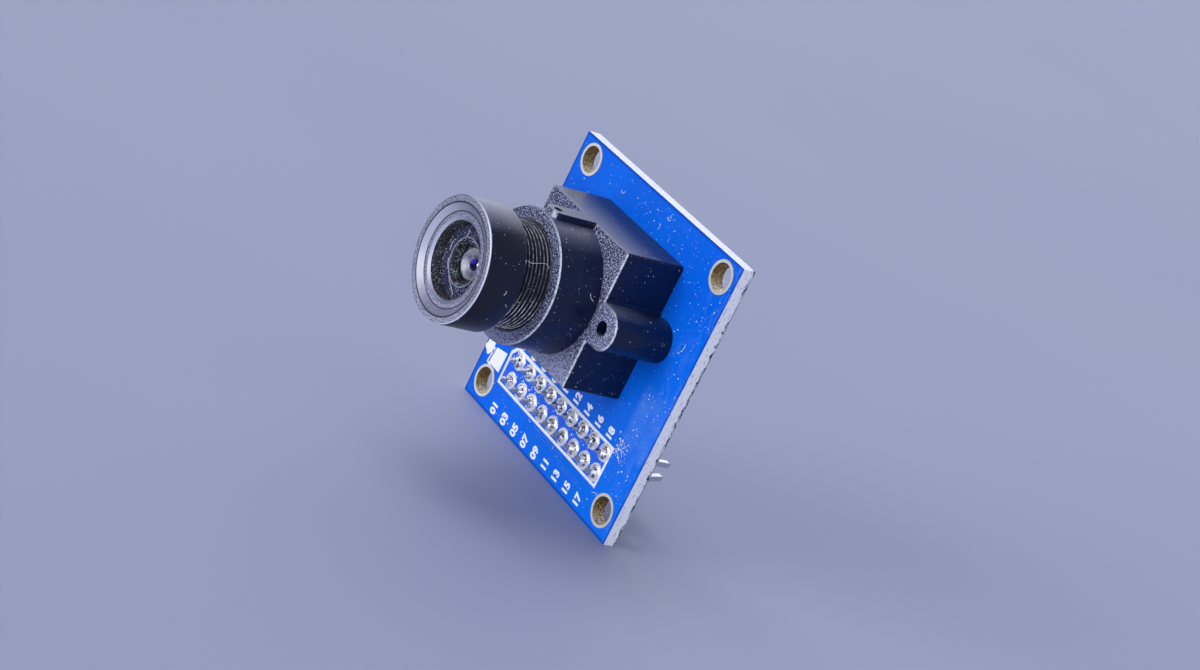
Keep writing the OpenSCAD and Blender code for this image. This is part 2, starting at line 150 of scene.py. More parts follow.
class Finish:
    """A Principled surface: two close tones in soft patches, a roughness that varies with them
    and a fine grain in relief, under whatever covers it. Sizes are in mm."""

    def __init__(self, name, dark, pale, patch, grain, height, rough, swing=0.06, **sockets):
        self.material = bpy.data.materials.new(name)
        self.material.use_nodes = True
        self.tree = self.material.node_tree
        self.shader = self.tree.nodes["Principled BSDF"]
        for socket, value in sockets.items():
            self.shader.inputs[socket.replace("_", " ")].default_value = value
        self.place = self.add("ShaderNodeTexCoord").node.outputs
        patches = self.blotches(patch, 4)
        self.colour = linear(dark)
        self.cover(pale, None, patches)
        self.rough = self.mask(patches, 0.3, 0.7, rough - swing, rough + swing)
        self.height, self.relief = self.blotches(grain, 3), height

    def add(self, kind, inputs=None, out=0, **settings):
        return add(self.tree, kind, inputs, out, **settings)

    def done(self):
        """Links the colour, roughness and relief, and hands over the material."""
        relief = {"Height": self.height, "Strength": 1.0, "Distance": self.relief * MM}
        bump = self.add("ShaderNodeBump", relief)
        ends = {"Base Color": self.colour, "Roughness": self.rough, "Normal": bump}
        for socket, source in ends.items():
            self.tree.links.new(source, self.shader.inputs[socket])
        return self.material

    def blotches(self, size, detail=2, stretch=(1, 1, 1), distortion=0.0):
        """A pattern of blobs about size mm across, drawn out along the stretched axes."""
        spread = {
            "Vector": self.place["Object"],
            "Scale": [1 / (size * MM * s) for s in stretch],
            # keeps flat faces off the noise's own grid planes, where it fades
            "Location": (0.37, 0.31, 0.43),
        }
        laid = self.add("ShaderNodeMapping", spread)
        blobs = {"Vector": laid, "Scale": 1.0, "Detail": detail, "Distortion": distortion}
        return self.add("ShaderNodeTexNoise", blobs)

    def measured(self, what):
        """One number for each spot: its X, Y or Z, its radius from the lens axis, a part of its normal such
        as normal X, how flat it lies in the board's plane, or how far it faces up, towards the painted
        light."""
        spot, normal = self.place["Object"], self.place["Normal"]
        if what == "up":
            up = {0: normal, 1: PAINTED_LIGHT_SIDE}
            return self.add("ShaderNodeVectorMath", up, 1, operation="DOT_PRODUCT")
        if what == "radius":
            middle = {0: spot, 1: (1, 0, 1), 2: (0, 0, -AXIS_Z * MM)}
            flat = self.add("ShaderNodeVectorMath", middle, operation="MULTIPLY_ADD")
            return self.add("ShaderNodeVectorMath", {0: flat}, 1, operation="LENGTH")
        if what == "flatness":
            flat = {0: self.measured("normal Y")}
            return self.add("ShaderNodeMath", flat, operation="ABSOLUTE")
        source = normal if what.startswith("normal") else spot
        return self.add("ShaderNodeSeparateXYZ", {0: source}, what[-1])

    def mask(self, measure, low, high, least=0.0, most=1.0):
        """Goes from least to most as a measure or a pattern goes from low to high. A measured
        place is given in mm."""
        if isinstance(measure, str):
            unit = MM if measure in ("X", "Y", "Z", "radius") else 1
            measure, low, high = self.measured(measure), low * unit, high * unit
        limits = {"From Min": low, "From Max": high, "To Min": least, "To Max": most}
        return self.add("ShaderNodeMapRange", {"Value": measure, **limits})

    def overlap(self, *masks):
        """1 only where every mask is."""
        both, *rest = masks
        for mask in rest:
            both = self.add("ShaderNodeMath", {0: both, 1: mask}, operation="MULTIPLY")
        return both

    def either(self, first, second):
        """The stronger of two masks."""
        return self.add("ShaderNodeMath", {0: first, 1: second}, operation="MAXIMUM")

    def within(self, place, low, high, soft):
        """1 where a place is between low and high mm, with soft ends outside them."""
        return self.overlap(self.mask(place, low - soft, low), self.mask(place, high + soft, high))

    def cover(self, colour, rough, *masks):
        """Lays a colour, and a roughness if one is given, where the masks overlap."""
        where = self.overlap(*masks)
        over = {0: where, COLOUR_A: self.colour, COLOUR_B: linear(colour)}
        self.colour = self.add("ShaderNodeMix", over, COLOUR_OUT, data_type="RGBA")
        if rough is not None:
            over = {0: where, NUMBER_A: self.rough, NUMBER_B: rough}
            self.rough = self.add("ShaderNodeMix", over, data_type="FLOAT")

    def let_lamps_through(self):
        """Glass that shuts no light out of the lens: its own shadow is left off."""
        shadow = self.add("ShaderNodeLightPath", out="Is Shadow Ray")
        clear = self.add("ShaderNodeBsdfTransparent")
        both = self.add("ShaderNodeMixShader", {0: shadow, 1: self.shader.outputs[0], 2: clear})
        self.tree.links.new(both, self.tree.nodes["Material Output"].inputs["Surface"])


def solder_mask():
    # Epoxy solder mask over glass epoxy: a smooth deep blue film, painted paler towards the lower right as
    # painted light, with a paler patch near the right edge, hazed by flux between the header's pins, and a
    # dark line where it stops at the edge. The cut edges are bare laminate: white glass fibre in broken
    # layers, with the rear part of the right edge torn and grey.
    made = Finish("solder_mask", "#0357D0", "#0870EE", 9, 0.5, 0.003, 0.3, 0.05, Specular_IOR_Level=0.14)
    # painted light: the film is painted paler towards the lower right
    slant = {0: made.place["Object"], 1: (1, 0, -1)}
    slant = made.add("ShaderNodeVectorMath", slant, 1, operation="DOT_PRODUCT")
    made.cover("#0A7CF6", None, made.mask(slant, 0, 30 * MM, 0, 0.6))
    border = 0.36
    inner = made.overlap(
        made.within("X", board_low.x + border, board_high.x - border, 0.1),
        made.within("Z", board_low.z + border, board_high.z - border, 0.1),
    )
    made.cover("#00369E", None, made.mask(inner, 0, 1, 0.6, 0))
    pin_rows = made.overlap(made.within("X", -11.5, 11.2, 0.5), made.within("Z", -13.2, -8.9, 0.4))
    made.cover("#3F5CE0", 0.35, pin_rows, made.mask(made.blotches(1.2, 3), 0.3, 0.75, 0.1, 0.6))
    scuff = made.mask(made.blotches(0.9, 4, (1, 1, 2.5), 1.2), 0.5, 0.75, 0, 0.35)
    made.cover("#7C98EA", 0.5, made.mask("X", 12.5, 16.8), scuff)
    # a paler patch in blotches near the right edge
    paler_patch = made.overlap(made.within("X", 12.3, 16.4, 0.8), made.within("Z", -6.6, -1.2, 1.6))
    made.cover("#5C92EC", 0.45, paler_patch, made.mask(made.blotches(2.2, 4), 0.3, 0.7, 0.1, 0.5))
    cut = made.mask("flatness", 0.75, 0.6)
    fibre = made.blotches(0.14, 3, (1.4, 1.2, 5), 0.4)
    weave = made.blotches(0.3, 3, (1, 0.6, 2))
    made.cover("#F8F9FE", 0.6, cut)
    made.cover("#A4ADC6", 0.8, cut, made.mask(fibre, 0.6, 0.68))
    right_edge = made.overlap(cut, made.mask("X", 16.6, 16.9))
    made.cover("#D6DCEC", 0.8, right_edge, made.mask(weave, 0.66, 0.7))
    tear_line = {0: made.measured("Y"), 1: made.mask(weave, 0.3, 0.7, -0.5 * MM, 0.05 * MM)}
    behind = made.add("ShaderNodeMath", tear_line, operation="SUBTRACT")
    torn = made.overlap(right_edge, made.mask(behind, -0.05 * MM, 0.05 * MM))
    made.cover("#9AA2B8", 0.9, torn)
    made.cover("#2A2E38", 0.95, torn, made.mask(fibre, 0.46, 0.58))
    return made.done()


def holder_plastic():
    # Moulded black glass-filled plastic: the faces towards the lens keep the mould's spark-eroded grain,
    # greyer, and paler towards the bottom and the right. The drawn sides are smooth and softly glossy, with
    # painted sheen on the faces turned up towards the light, patchy like a film of dust and strongest
    # towards the front, and the chamfered edges carry a painted highlight, strongest where they face right
    # and broken like wear.
    made = Finish("holder_plastic", "#040F28", "#08193E", 4, 0.3, 0.004, 0.32, 0.05, Specular_IOR_Level=0.4)
    facing = made.mask("normal Y", -0.85, -0.95)
    grain = made.blotches(0.17, 3)
    film = made.mask(made.blotches(0.12, 2), 0.3, 0.7, 0.6, 1)
    # painted sheen on the faces turned up towards the light, broken into patches like a dust film,
    # strongest towards the front
    made.cover("#7F869C", 0.5, made.mask("up", 0.35, 0.95, 0, 0.8), film, made.mask("Y", -4, -9.5, 0.1, 1))
    made.cover("#323653", 0.62, facing)
    # the faces towards the lens are paler towards the bottom and the right
    paler_low_right = made.either(made.mask("Z", 1, -3, 0, 0.95), made.mask("X", 7.5, 10, 0, 0.3))
    made.cover("#A3A9CC", 0.7, facing, paler_low_right)
    made.cover("#B4BADC", 0.8, facing, made.mask(grain, 0.52, 0.6))
    made.cover("#0B0E22", 0.7, facing, made.mask(grain, 0.47, 0.38))
    # painted highlight on the chamfers, strongest where they face right, broken like wear
    chamfer = made.overlap(made.mask("normal Y", -0.45, -0.6), made.mask("normal Y", -0.93, -0.82))
    rightward = made.mask("normal X", 0.05, 0.6, 0.15, 1)
    made.cover("#D2D6E4", 0.4, chamfer, rightward, made.mask(made.blotches(0.3, 3), 0.36, 0.5, 0.4, 1))
    # painted shade: the walls of the pin hole through the rib's nose are painted near black
    hole = made.overlap(made.within("X", -0.52, 0.52, 0.04), made.within("Y", -14.62, -13.58, 0.04))
    made.cover("#04050B", 0.6, hole, made.mask("normal Z", 0.95, 0.8))
    grains = {0: grain, 1: made.blotches(0.5)}
    grains = made.add("ShaderNodeMath", grains, operation="ADD")
    made.height, made.relief = made.overlap(grains, facing), 0.03
    return made.done()


def barrel_metal():
    # Turned aluminium, black anodised: satin near-black sides with painted sheen on the side turned up
    # towards the light, patchy like a film of dust. The thread's crests carry a painted highlight in fine
    # broken lines, partly rubbed down to bare metal, dimmed at middle heights where shade falls.
    made = Finish("barrel_metal", "#070A18", "#0B1026", 5, 0.12, 0.003, 0.36, 0.05, Specular_IOR_Level=0.45)
    film = made.mask(made.blotches(0.13), 0.3, 0.7, 0.6, 1)
    # painted sheen on the side turned up towards the light, patchy like a dust film
    made.cover("#969CB6", 0.5, made.mask("up", 0.42, 1.0, 0, 0.95), film)
    thread = made.mask("Y", -HEAD_BACK - 0.2, -HEAD_BACK + 0.2)
    made.cover("#03051C", 0.45, thread)
    crest = made.mask("radius", THREAD_CREST - 0.055, THREAD_CREST - 0.015)
    # painted highlight on the crests: bright low down, dimmed at middle heights where shade falls, a little
    # brighter again near the top
    lit = made.either(made.mask("Z", 4.8, 2.6, 0.14, 1), made.mask("Z", 6.2, 7.6, 0, 0.42))
    crest_breakup = made.mask(made.blotches(0.5, 3), 0.4, 0.54, 0.25, 1)
    made.cover("#E2E5F0", 0.3, thread, crest, lit, crest_breakup)
    return made.done()


def rim_metal():
    # The head's front and the retaining ring: the same anodised aluminium, dulled to grey by a film of dust
    # on the flats, which are paler towards the bottom, and clean and satin on the cones, with a painted
    # highlight where the cones face right. At the outer corner there is a painted highlight on the right
    # and painted shade on the left, and the walls inside the recess are painted near black as painted
    # shade.
    made = Finish("rim_metal", "#5C5F72", "#7C8094", 1.2, 0.15, 0.006, 0.34, 0.04, Specular_IOR_Level=1.0)
    flat = made.mask("normal Y", -0.93, -0.97)
    speck = made.blotches(0.16, 3)
    # the flats are paler towards the bottom
    made.cover("#AEB2CC", 0.6, flat, made.mask("Z", 3, -2.5, 0, 0.45))
    made.cover("#B9BCD2", 0.8, flat, made.mask(speck, 0.53, 0.62))
    made.cover("#2E3040", 0.7, flat, made.mask(speck, 0.46, 0.38))
    # painted highlight on the cones and walls that face right
    made.cover("#AEB1C6", 0.3, made.mask(flat, 0, 1, 1, 0), made.mask("normal X", 0.05, 0.45))
    for groove, half in ((6.25, 0.072), (5.33, 0.048)):
        made.cover("#0A0B10", 0.6, made.within("radius", groove - half, groove + half, half / 1.5))
    # at the outer corner: painted shade on the left and a painted highlight on the right
    corner = made.mask("radius", 6.92, 6.98)
    made.cover("#20222C", 0.5, corner, made.mask("X", 1, -3))
    made.cover("#DFE2EF", 0.3, corner, made.mask("X", -2, 4))
    # painted shade: the walls inside the recess are painted near black, with dust specks over them
    wall = made.mask("normal Y", -0.45, -0.2)
    made.cover("#090A0F", 0.5, wall, made.mask("radius", 6.9, 6.8))
    made.cover("#8A8C9C", 0.8, wall, made.mask(made.blotches(0.13), 0.6, 0.68))
    return made.done()


def baffle_metal():
    # Rough black anodised baffle, freckled all over with pale dust, with a pale line round the ridge's
    # crest, and painted shade: near black in the corner by the outer wall and down the funnel.
    made = Finish("baffle_metal", "#0A0D2A", "#1B1F4A", 0.6, 0.12, 0.03, 0.5, Specular_IOR_Level=0.4)
    freckle = made.blotches(0.18)
    made.cover("#8E94B8", 0.8, made.mask(freckle, 0.6, 0.7))
    # painted shade: near black in the corner by the outer wall
    made.cover("#07080C", 0.6, made.mask("radius", 3.8, 4.35), made.mask(freckle, 0.64, 0.54))
    # painted shade: near black down the funnel
    made.cover("#050507", 0.5, made.mask("radius", 2.66, 2.6), made.mask(freckle, 0.66, 0.56))
    # a pale line round the ridge's crest
    made.cover("#8B90A4", 0.6, made.within("radius", 2.672, 2.768, 0.032))
    return made.done()


def gold_plating():
    # Electroless gold on copper: pale cream gold on the ring faces. Down the walls of the holes it is
    # painted paler where the wall faces the light and browner where it faces away, as painted highlight and
    # painted shade, with dark specks of drilling residue.
    made = Finish("gold_plating", "#B48F48", "#EBD193", 0.5, 0.12, 0.012, 0.34, 0.06, Metallic=0.55)
    wall = made.mask("flatness", 0.7, 0.5)
    # painted highlight and painted shade: the walls are paler where they face the light and browner where
    # they face away
    made.cover("#F3E6C0", 0.45, wall, made.mask("up", -0.1, 0.6, 0, 0.85))
    made.cover("#6A4C14", 0.4, wall, made.mask("up", -0.5, 0.35, 0.75, 0))
    made.cover("#2B1E0A", 0.7, wall, made.mask(made.blotches(0.16, 3), 0.55, 0.6))
    made.cover("#FBF3E0", 0.4, made.mask(wall, 0, 1, 1, 0))
    return made.done()


def solder():
    # Tin solder, joined by hand: bright and frosted on the pads and crests, with painted shade in dark
    # patches on the flanks and in the pit over each pin.
    made = Finish("solder", "#DDE0E8", "#FFFFFF", 0.3, 0.16, 0.02, 0.28, 0.08, Metallic=0.3)
    # painted shade in dark patches on the flanks and in the pit
    flank = made.within("Y", FRONT - 0.58, FRONT - 0.26, 0.1)
    made.cover("#2B2E38", 0.4, flank, made.mask(made.blotches(0.3, 3, distortion=0.8), 0.47, 0.56))
    return made.done()


def dome_coat():
    # The first glass: polished, with a violet coating that throws back a deep violet light. A painted
    # reflection lies on the side turned up towards the light, a pale cloudy film like dust that also makes
    # the glass less clear there.
    made = Finish(
        "dome_coat", "#D4D7E6", "#E0E2EE", 1.5, 0.8, 0.0002, 0.03, 0.01,
        Transmission_Weight=1.0, IOR=1.7, Specular_Tint=linear("#5838F0"),
        Sheen_Weight=0.8, Sheen_Roughness=0.3, Sheen_Tint=linear("#FFFFFF"),
    )
    # painted reflection on the side turned up towards the light, in clouds like a dust film, which also
    # takes clearness away there
    cloud = made.mask(made.blotches(0.35, 4), 0.3, 0.7, 0.5, 1)
    film = made.overlap(made.mask("up", 0.45, 0.9, 0, 0.6), cloud)
    made.cover("#E9ECF6", 0.3, film)
    made.tree.links.new(made.mask(film, 0, 1, 1, 0), made.shader.inputs["Transmission Weight"])
    made.let_lamps_through()
    return made.done()


def plain_materials():
    """The finishes that need nothing over the common make-up."""
    metal = dict(Metallic=1.0)
    rows = {
        # Moulded nylon: deep black with a dull sheen.
        "header_plastic": ("#0C0C0E", "#17171A", 2, 0.15, 0.008, 0.45, {}),
        # Tin over brass: bright, with soft drawing marks.
        "tinned_pin": ("#B9BCC2", "#E2E4E9", 0.8, 0.1, 0.003, 0.22, metal),
        # Black oxide steel: dark, oily and slightly rough.
        "screw_steel": ("#15151A", "#25262B", 0.5, 0.08, 0.004, 0.38, dict(Metallic=0.7)),
        # Polished die with its fine structure: grey-green and mirror-like.
        "silicon": ("#3A4440", "#5A6660", 0.4, 0.05, 0.001, 0.15, dict(Metallic=0.5)),
        # Matte black anodised spacer.
        "spacer_metal": ("#0B0B0D", "#16161A", 1, 0.1, 0.004, 0.5, {}),
        # The spacer's turned cone: bare satin aluminium, cloudy where the blacking wore off.
        "spacer_satin": ("#12141A", "#C6C9D6", 0.45, 0.2, 0.006, 0.36, dict(Metallic=0.6)),
        # Blackened film of the stop.
        "stop_film": ("#070709", "#0E0E11", 1, 0.1, 0.002, 0.6, {}),
        # Moulding compound of the regulators: matte charcoal with a fine tooth.
        "moulded_epoxy": ("#1B1B1E", "#29292D", 0.7, 0.06, 0.006, 0.62, {}),
        # Reflowed tin on the legs, chip ends and pads: bright, slightly frosted.
        "tinned_lead": ("#B4B7BD", "#DADCE1", 0.5, 0.08, 0.006, 0.28, metal),
        # Fired ceramic of the capacitors: biscuit brown and matte.
        "capacitor_ceramic": ("#8A6B45", "#A98A60", 0.5, 0.08, 0.003, 0.5, {}),
        # Glazed film of the resistors: near-black and smooth.
        "resistor_ceramic": ("#0F1012", "#1C1D20", 0.5, 0.08, 0.003, 0.3, {}),
        # Solder mask where it lies on a copper trace: paler than on the laminate, and proud of it.
        "masked_copper": ("#1E6AE6", "#2F7BF2", 3, 0.4, 0.003, 0.3, dict(Specular_IOR_Level=0.3)),
        # Screen-printed epoxy ink: opaque white, slightly chalky, uneven at the edges.
        "ink": ("#F2F3F8", "#FFFFFF", 0.5, 0.08, 0.006, 0.6, {}),
        # Lint and dust: pale, matte and uneven.
        "dust": ("#C4CAD8", "#F6F7FA", 0.3, 0.05, 0.004, 0.9, {}),
    }
    return {name: Finish(name, *row, **sockets).done() for name, (*row, sockets) in rows.items()}


def glasses():
    """Ground and polished optical glass, each under a coating that throws back its own light."""
    rows = {
        # Front glass's slot: clear and faintly blue.
        "lens_glass": ("#DDE0F0", "#E6E8F6", "#FFFFFF", 1.75),
        # Inner elements: a strong violet coating.
        "inner_glass": ("#B9A6F0", "#C4B4F4", "#8060FF", 1.7),
        # Sensor's cover: clear float glass, faintly green.
        "cover_glass": ("#E6F2EE", "#EEF6F3", "#FFFFFF", 1.5),
        # Infrared filter: clear with a red glance.
        "filter_glass": ("#D8A0A8", "#E0ACB4", "#FF6070", 1.5),
    }
    made = {}
    for name, (dark, pale, coating, ior) in rows.items():
        sockets = dict(Transmission_Weight=1.0, IOR=ior, Specular_Tint=linear(coating))
        pane = Finish(name, dark, pale, 3, 1.5, 0.0002, 0.02, 0.01, **sockets)
        pane.let_lamps_through()
        made[name] = pane.done()
    return made


LOOKS = {**plain_materials(), **glasses()}
for finish in (
    solder_mask, holder_plastic, barrel_metal, rim_metal, baffle_metal, gold_plating, solder, dome_coat
):
    LOOKS[finish.__name__] = finish()
LOOKS["ring_metal"] = LOOKS["rim_metal"]


def dress_nodes():
    """Gives each CAD node the material of its slot."""
    slots = {row["node"]: row["material_slot"] for row in frame["record"]["subparts"]}
    slots.update(middle_element="inner_glass", rear_element="inner_glass")
    for name, thing in frame["nodes"].items():
        thing.data.materials.clear()
        thing.data.materials.append(LOOKS[slots[name]])


dress_nodes()


# ------------------------------------------------------------------ making meshes
def to_mesh(name, bm):
    mesh = bpy.data.meshes.new(name)
    bm.to_mesh(mesh)
    bm.free()
    return mesh


def drawn(name, bm, *how, **also):
    """Makes a piece, as piece() does, from a bmesh drawn in mm in the row frame."""
    bmesh.ops.recalc_face_normals(bm, faces=bm.faces[:])
    bm.transform(Matrix.Scale(MM, 4))
    return piece(name, to_mesh(name, bm), *how, **also)


def piece(name, mesh, material, body, replaces=(), slot=None, smooth=None):
    """Makes a piece from a mesh and fixes it to its body; smooth is its sharpest smooth edge."""
    mesh.materials.clear()
    mesh.materials.append(LOOKS[material])
    if smooth is not None:
        mesh.shade_smooth()
        mesh.set_sharp_from_angle(angle=math.radians(smooth))
    made = bpy.data.objects.new(name, mesh)
    show(made)
    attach(made, body)
    if replaces:
        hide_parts(*replaces)
    return made


def on_circle(radius, count):
    """Points evenly round a circle."""
    turns = [TAU * i / count for i in range(count)]
    return [(radius * math.cos(a), radius * math.sin(a)) for a in turns]


def bridge(bm, first, second):
    """Closes the band between two rings of as many vertices."""
    for i in range(len(first)):
        j = (i + 1) % len(first)
        bm.faces.new((first[i], second[i], second[j], first[j]))


def lathe(profile, segments):
    """Turns a closed profile of (radius, distance in front of the board's back) round the axis."""
    bm = bmesh.new()
    rings = [
        [bm.verts.new((x, -depth, AXIS_Z + z)) for x, z in on_circle(radius, segments)]
        for radius, depth in profile
    ]
    for first, second in zip(rings, rings[1:] + rings[:1]):
        bridge(bm, first, second)
    return bm


# ------------------------------------------------------------------ geometry trees
def new_tree(name, **sizes):
    """An empty geometry tree with a Geometry input, the named sizes and a Material input."""
    tree = bpy.data.node_groups.new(name, "GeometryNodeTree")
    for size, kind in {"Geometry": "Geometry", **sizes, "Material": "Material"}.items():
        size = size.replace("_", " ")
        tree.interface.new_socket(size, in_out="INPUT", socket_type=f"NodeSocket{kind}")
    tree.interface.new_socket("Geometry", in_out="OUTPUT", socket_type="NodeSocketGeometry")
    return tree, add(tree, "NodeGroupInput").node.outputs


def close_tree(tree, geometry, material):
    """Ends a tree in Realize Instances and Set Material."""
    real = add(tree, "GeometryNodeRealizeInstances", {0: geometry})
    dressed = add(tree, "GeometryNodeSetMaterial", {"Geometry": real, "Material": material})
    add(tree, "NodeGroupOutput", {0: dressed})
    return tree


def crumple(tree, geometry, scale, amount, detail):
    """Pushes each point of a shape about by amount, in folds of the given scale."""
    folds = add(tree, "ShaderNodeTexNoise", {"Scale": scale, "Detail": detail}, "Color")
    middle = {0: folds, 1: (0.5, 0.5, 0.5)}
    middle = add(tree, "ShaderNodeVectorMath", middle, operation="SUBTRACT")
    push = add(tree, "ShaderNodeVectorMath", {0: middle, "Scale": amount}, operation="SCALE")
    return add(tree, "GeometryNodeSetPosition", {"Geometry": geometry, "Offset": push})


def bake(tree, mesh, inputs, material):
    """Runs a tree on a mesh and returns the result as a plain mesh."""
    holder = bpy.data.objects.new(tree.name, mesh)
    show(holder)
    modifier = holder.modifiers.new(tree.name, "NODES")
    modifier.node_group = tree
    inputs = {**inputs, "Material": LOOKS[material]}
    for item in tree.interface.items_tree:
        if item.in_out == "INPUT" and item.name in inputs:
            modifier[item.identifier] = inputs[item.name]
    graph = bpy.context.evaluated_depsgraph_get()
    result = bpy.data.meshes.new_from_object(holder.evaluated_get(graph), depsgraph=graph)
    holder.modifiers.clear()
    bpy.data.objects.remove(holder)
    return result


def bare_mesh(name, points=(), edges=(), faces=()):
    mesh = bpy.data.meshes.new(name)
    mesh.from_pydata([Vector(p) * MM for p in points], edges, faces)
    return mesh


def routes_mesh(name, routes):
    """One edge path for each route of points; a route that ends where it began is closed."""
    points, edges = [], []
    for route in routes:
        closed = route[0] == route[-1]
        first = len(points)
        points += route[:-1] if closed else route
        edges += [(i, i + 1) for i in range(first, len(points) - 1)]
        if closed:
            edges.append((len(points) - 1, first))
    return bare_mesh(name, points, edges)


# ------------------------------------------------------------------ circuit board
LAMINATE_STEP = 0.2
LAMINATE_LAYERS = 9
TEAR = 0.05


def outline_points():
    """Points round the board's outline, anticlockwise seen from the front."""
    x0, x1, z0, z1 = board_low.x, board_high.x, board_low.z, board_high.z
    corners = [(x0, z0), (x1, z0), (x1, z1), (x0, z1)]
    points = []
    for (xa, za), (xb, zb) in zip(corners, corners[1:] + corners[:1]):
        steps = round(math.dist((xa, za), (xb, zb)) / LAMINATE_STEP)
        points += [(xa + (xb - xa) * i / steps, za + (zb - za) * i / steps) for i in range(steps)]
    return points


def torn_ring(bm, layer):
    """The outline at one layer of the laminate, bitten into by the saw."""
    centre, half = (board_low + board_high) / 2, (board_high - board_low) / 2
    y = -BOARD_T * layer / LAMINATE_LAYERS
    ring = []
    for x, z in outline_points():
        rough = noise.noise(Vector((x * 2.2, y * 4.5, z * 2.2)))
        fine = noise.noise(Vector((x * 7, y * 9 + 20, z * 7)))
        bite = TEAR * (0.55 + 0.5 * rough + 0.4 * fine)
        if layer in (0, LAMINATE_LAYERS):
            bite = 0.35 * TEAR * (1 + fine)
        bite = max(bite, 0)
        x = centre.x + (x - centre.x) * (1 - bite / half.x)
        z = centre.z + (z - centre.z) * (1 - bite / half.z)
        ring.append(bm.verts.new((x, y, z)))
    return ring


def circuit_board():
    """The laminate with its torn, fibrous edges and every drilled hole."""
    bm = bmesh.new()
    layers = [torn_ring(bm, layer) for layer in range(LAMINATE_LAYERS + 1)]
    for first, second in zip(layers, layers[1:]):
        bridge(bm, first, second)
    holes = [
        (Vector((x, 0, z)), MOUNT_DRILL_R, 72) for x in (-MOUNT_X, MOUNT_X) for z in (-MOUNT_Z, MOUNT_Z)
    ]
    holes += [(pin, PIN_DRILL_R, 24) for pin in PINS]
    holes += [(Vector((x, 0, AXIS_Z)), SCREW_DRILL_R, 32) for x in (-SCREW_X, SCREW_X)]
    back, front = [layers[0]], [layers[-1]]
    for middle, radius, segments in holes:
        for side, y in ((back, 0), (front, FRONT)):
            rim = on_circle(radius, segments)
            side.append([bm.verts.new((middle.x + x, y, middle.z + z)) for x, z in rim])
        bridge(bm, back[-1], front[-1])
    for side in (back, front):
        edges = []
        for ring in side:
            for a, b in zip(ring, ring[1:] + ring[:1]):
                edges.append(bm.edges.get((a, b)) or bm.edges.new((a, b)))
        bmesh.ops.triangle_fill(bm, use_beauty=True, use_dissolve=False, edges=edges)
    drawn("circuit_board", bm, "solder_mask", BOARD, ["pcb"], "solder_mask")


circuit_board()

# ------------------------------------------------------------------ lens barrel
THREAD_ROWS_PER_TURN = 12
THREAD_AROUND = 145


def thread_tree():
    """A tube whose wall rises and falls in a right-hand screw thread, with a run-in chamfer."""
    lengths = ["Start", "Length", "Pitch", "Crest", "Root", "Axis Height"]
    sizes = {name.replace(" ", "_"): "Float" for name in lengths}
    tree, size = new_tree("focusing_thread", **sizes, Around="Int", Along="Int")
    sheet = {"Vertices X": size["Around"], "Vertices Y": size["Along"], "Size X": 1.0, "Size Y": 1.0}
    sheet = add(tree, "GeometryNodeMeshGrid", sheet)
    place = add(tree, "ShaderNodeSeparateXYZ", {0: add(tree, "GeometryNodeInputPosition")}).node.outputs
    known = {name: size[name] for name in lengths}
    known.update(column=place["X"], row=place["Y"])
    # Each step works on numbers and on the steps before it. The section of the thread is a
    # truncated triangle: its flat crest and root are a little narrower than the flanks.
    steps = [
        ("turn", "ADD", "column", 0.5),
        ("way", "ADD", "row", 0.5),
        ("way", "MULTIPLY", "way", "Length"),
        ("pitches", "DIVIDE", "way", "Pitch"),
        ("phase", "ADD", "pitches", "turn"),
        ("wave", "PINGPONG", "phase", 0.5),
        ("flank", "SUBTRACT", "wave", 0.07),
        ("flank", "MULTIPLY", "flank", 1 / 0.36),
        ("flank", "MINIMUM", "flank", 1.0),
        ("flank", "MAXIMUM", "flank", 0.0),
        ("way left", "SUBTRACT", "Length", "way"),
        ("run-in", "MINIMUM", "way", "way left"),
        ("run-in", "DIVIDE", "run-in", "Pitch"),
        ("run-in", "MINIMUM", "run-in", 1.0),
        ("run-in", "MAXIMUM", "run-in", 0.0),
        ("rise", "MULTIPLY", "flank", "run-in"),
        ("depth", "SUBTRACT", "Crest", "Root"),
        ("rise", "MULTIPLY", "rise", "depth"),
        ("radius", "ADD", "Root", "rise"),
        ("angle", "MULTIPLY", "turn", TAU),
        ("cosine", "COSINE", "angle"),
        ("sine", "SINE", "angle"),
        ("X", "MULTIPLY", "radius", "cosine"),
        ("Z", "MULTIPLY", "radius", "sine"),
        ("Z", "ADD", "Z", "Axis Height"),
        ("Y", "ADD", "way", "Start"),
        ("Y", "MULTIPLY", "Y", -1.0),
    ]
    for result, operation, *parts in steps:
        parts = {i: known.get(part, part) for i, part in enumerate(parts)}
        known[result] = add(tree, "ShaderNodeMath", parts, operation=operation)
    spot = add(tree, "ShaderNodeCombineXYZ", {axis: known[axis] for axis in "XYZ"})
    bent = add(tree, "GeometryNodeSetPosition", {"Geometry": sheet, "Position": spot})
    closed = add(tree, "GeometryNodeMergeByDistance", {"Geometry": bent, "Distance": 1e-7})
    return close_tree(tree, closed, size["Material"])


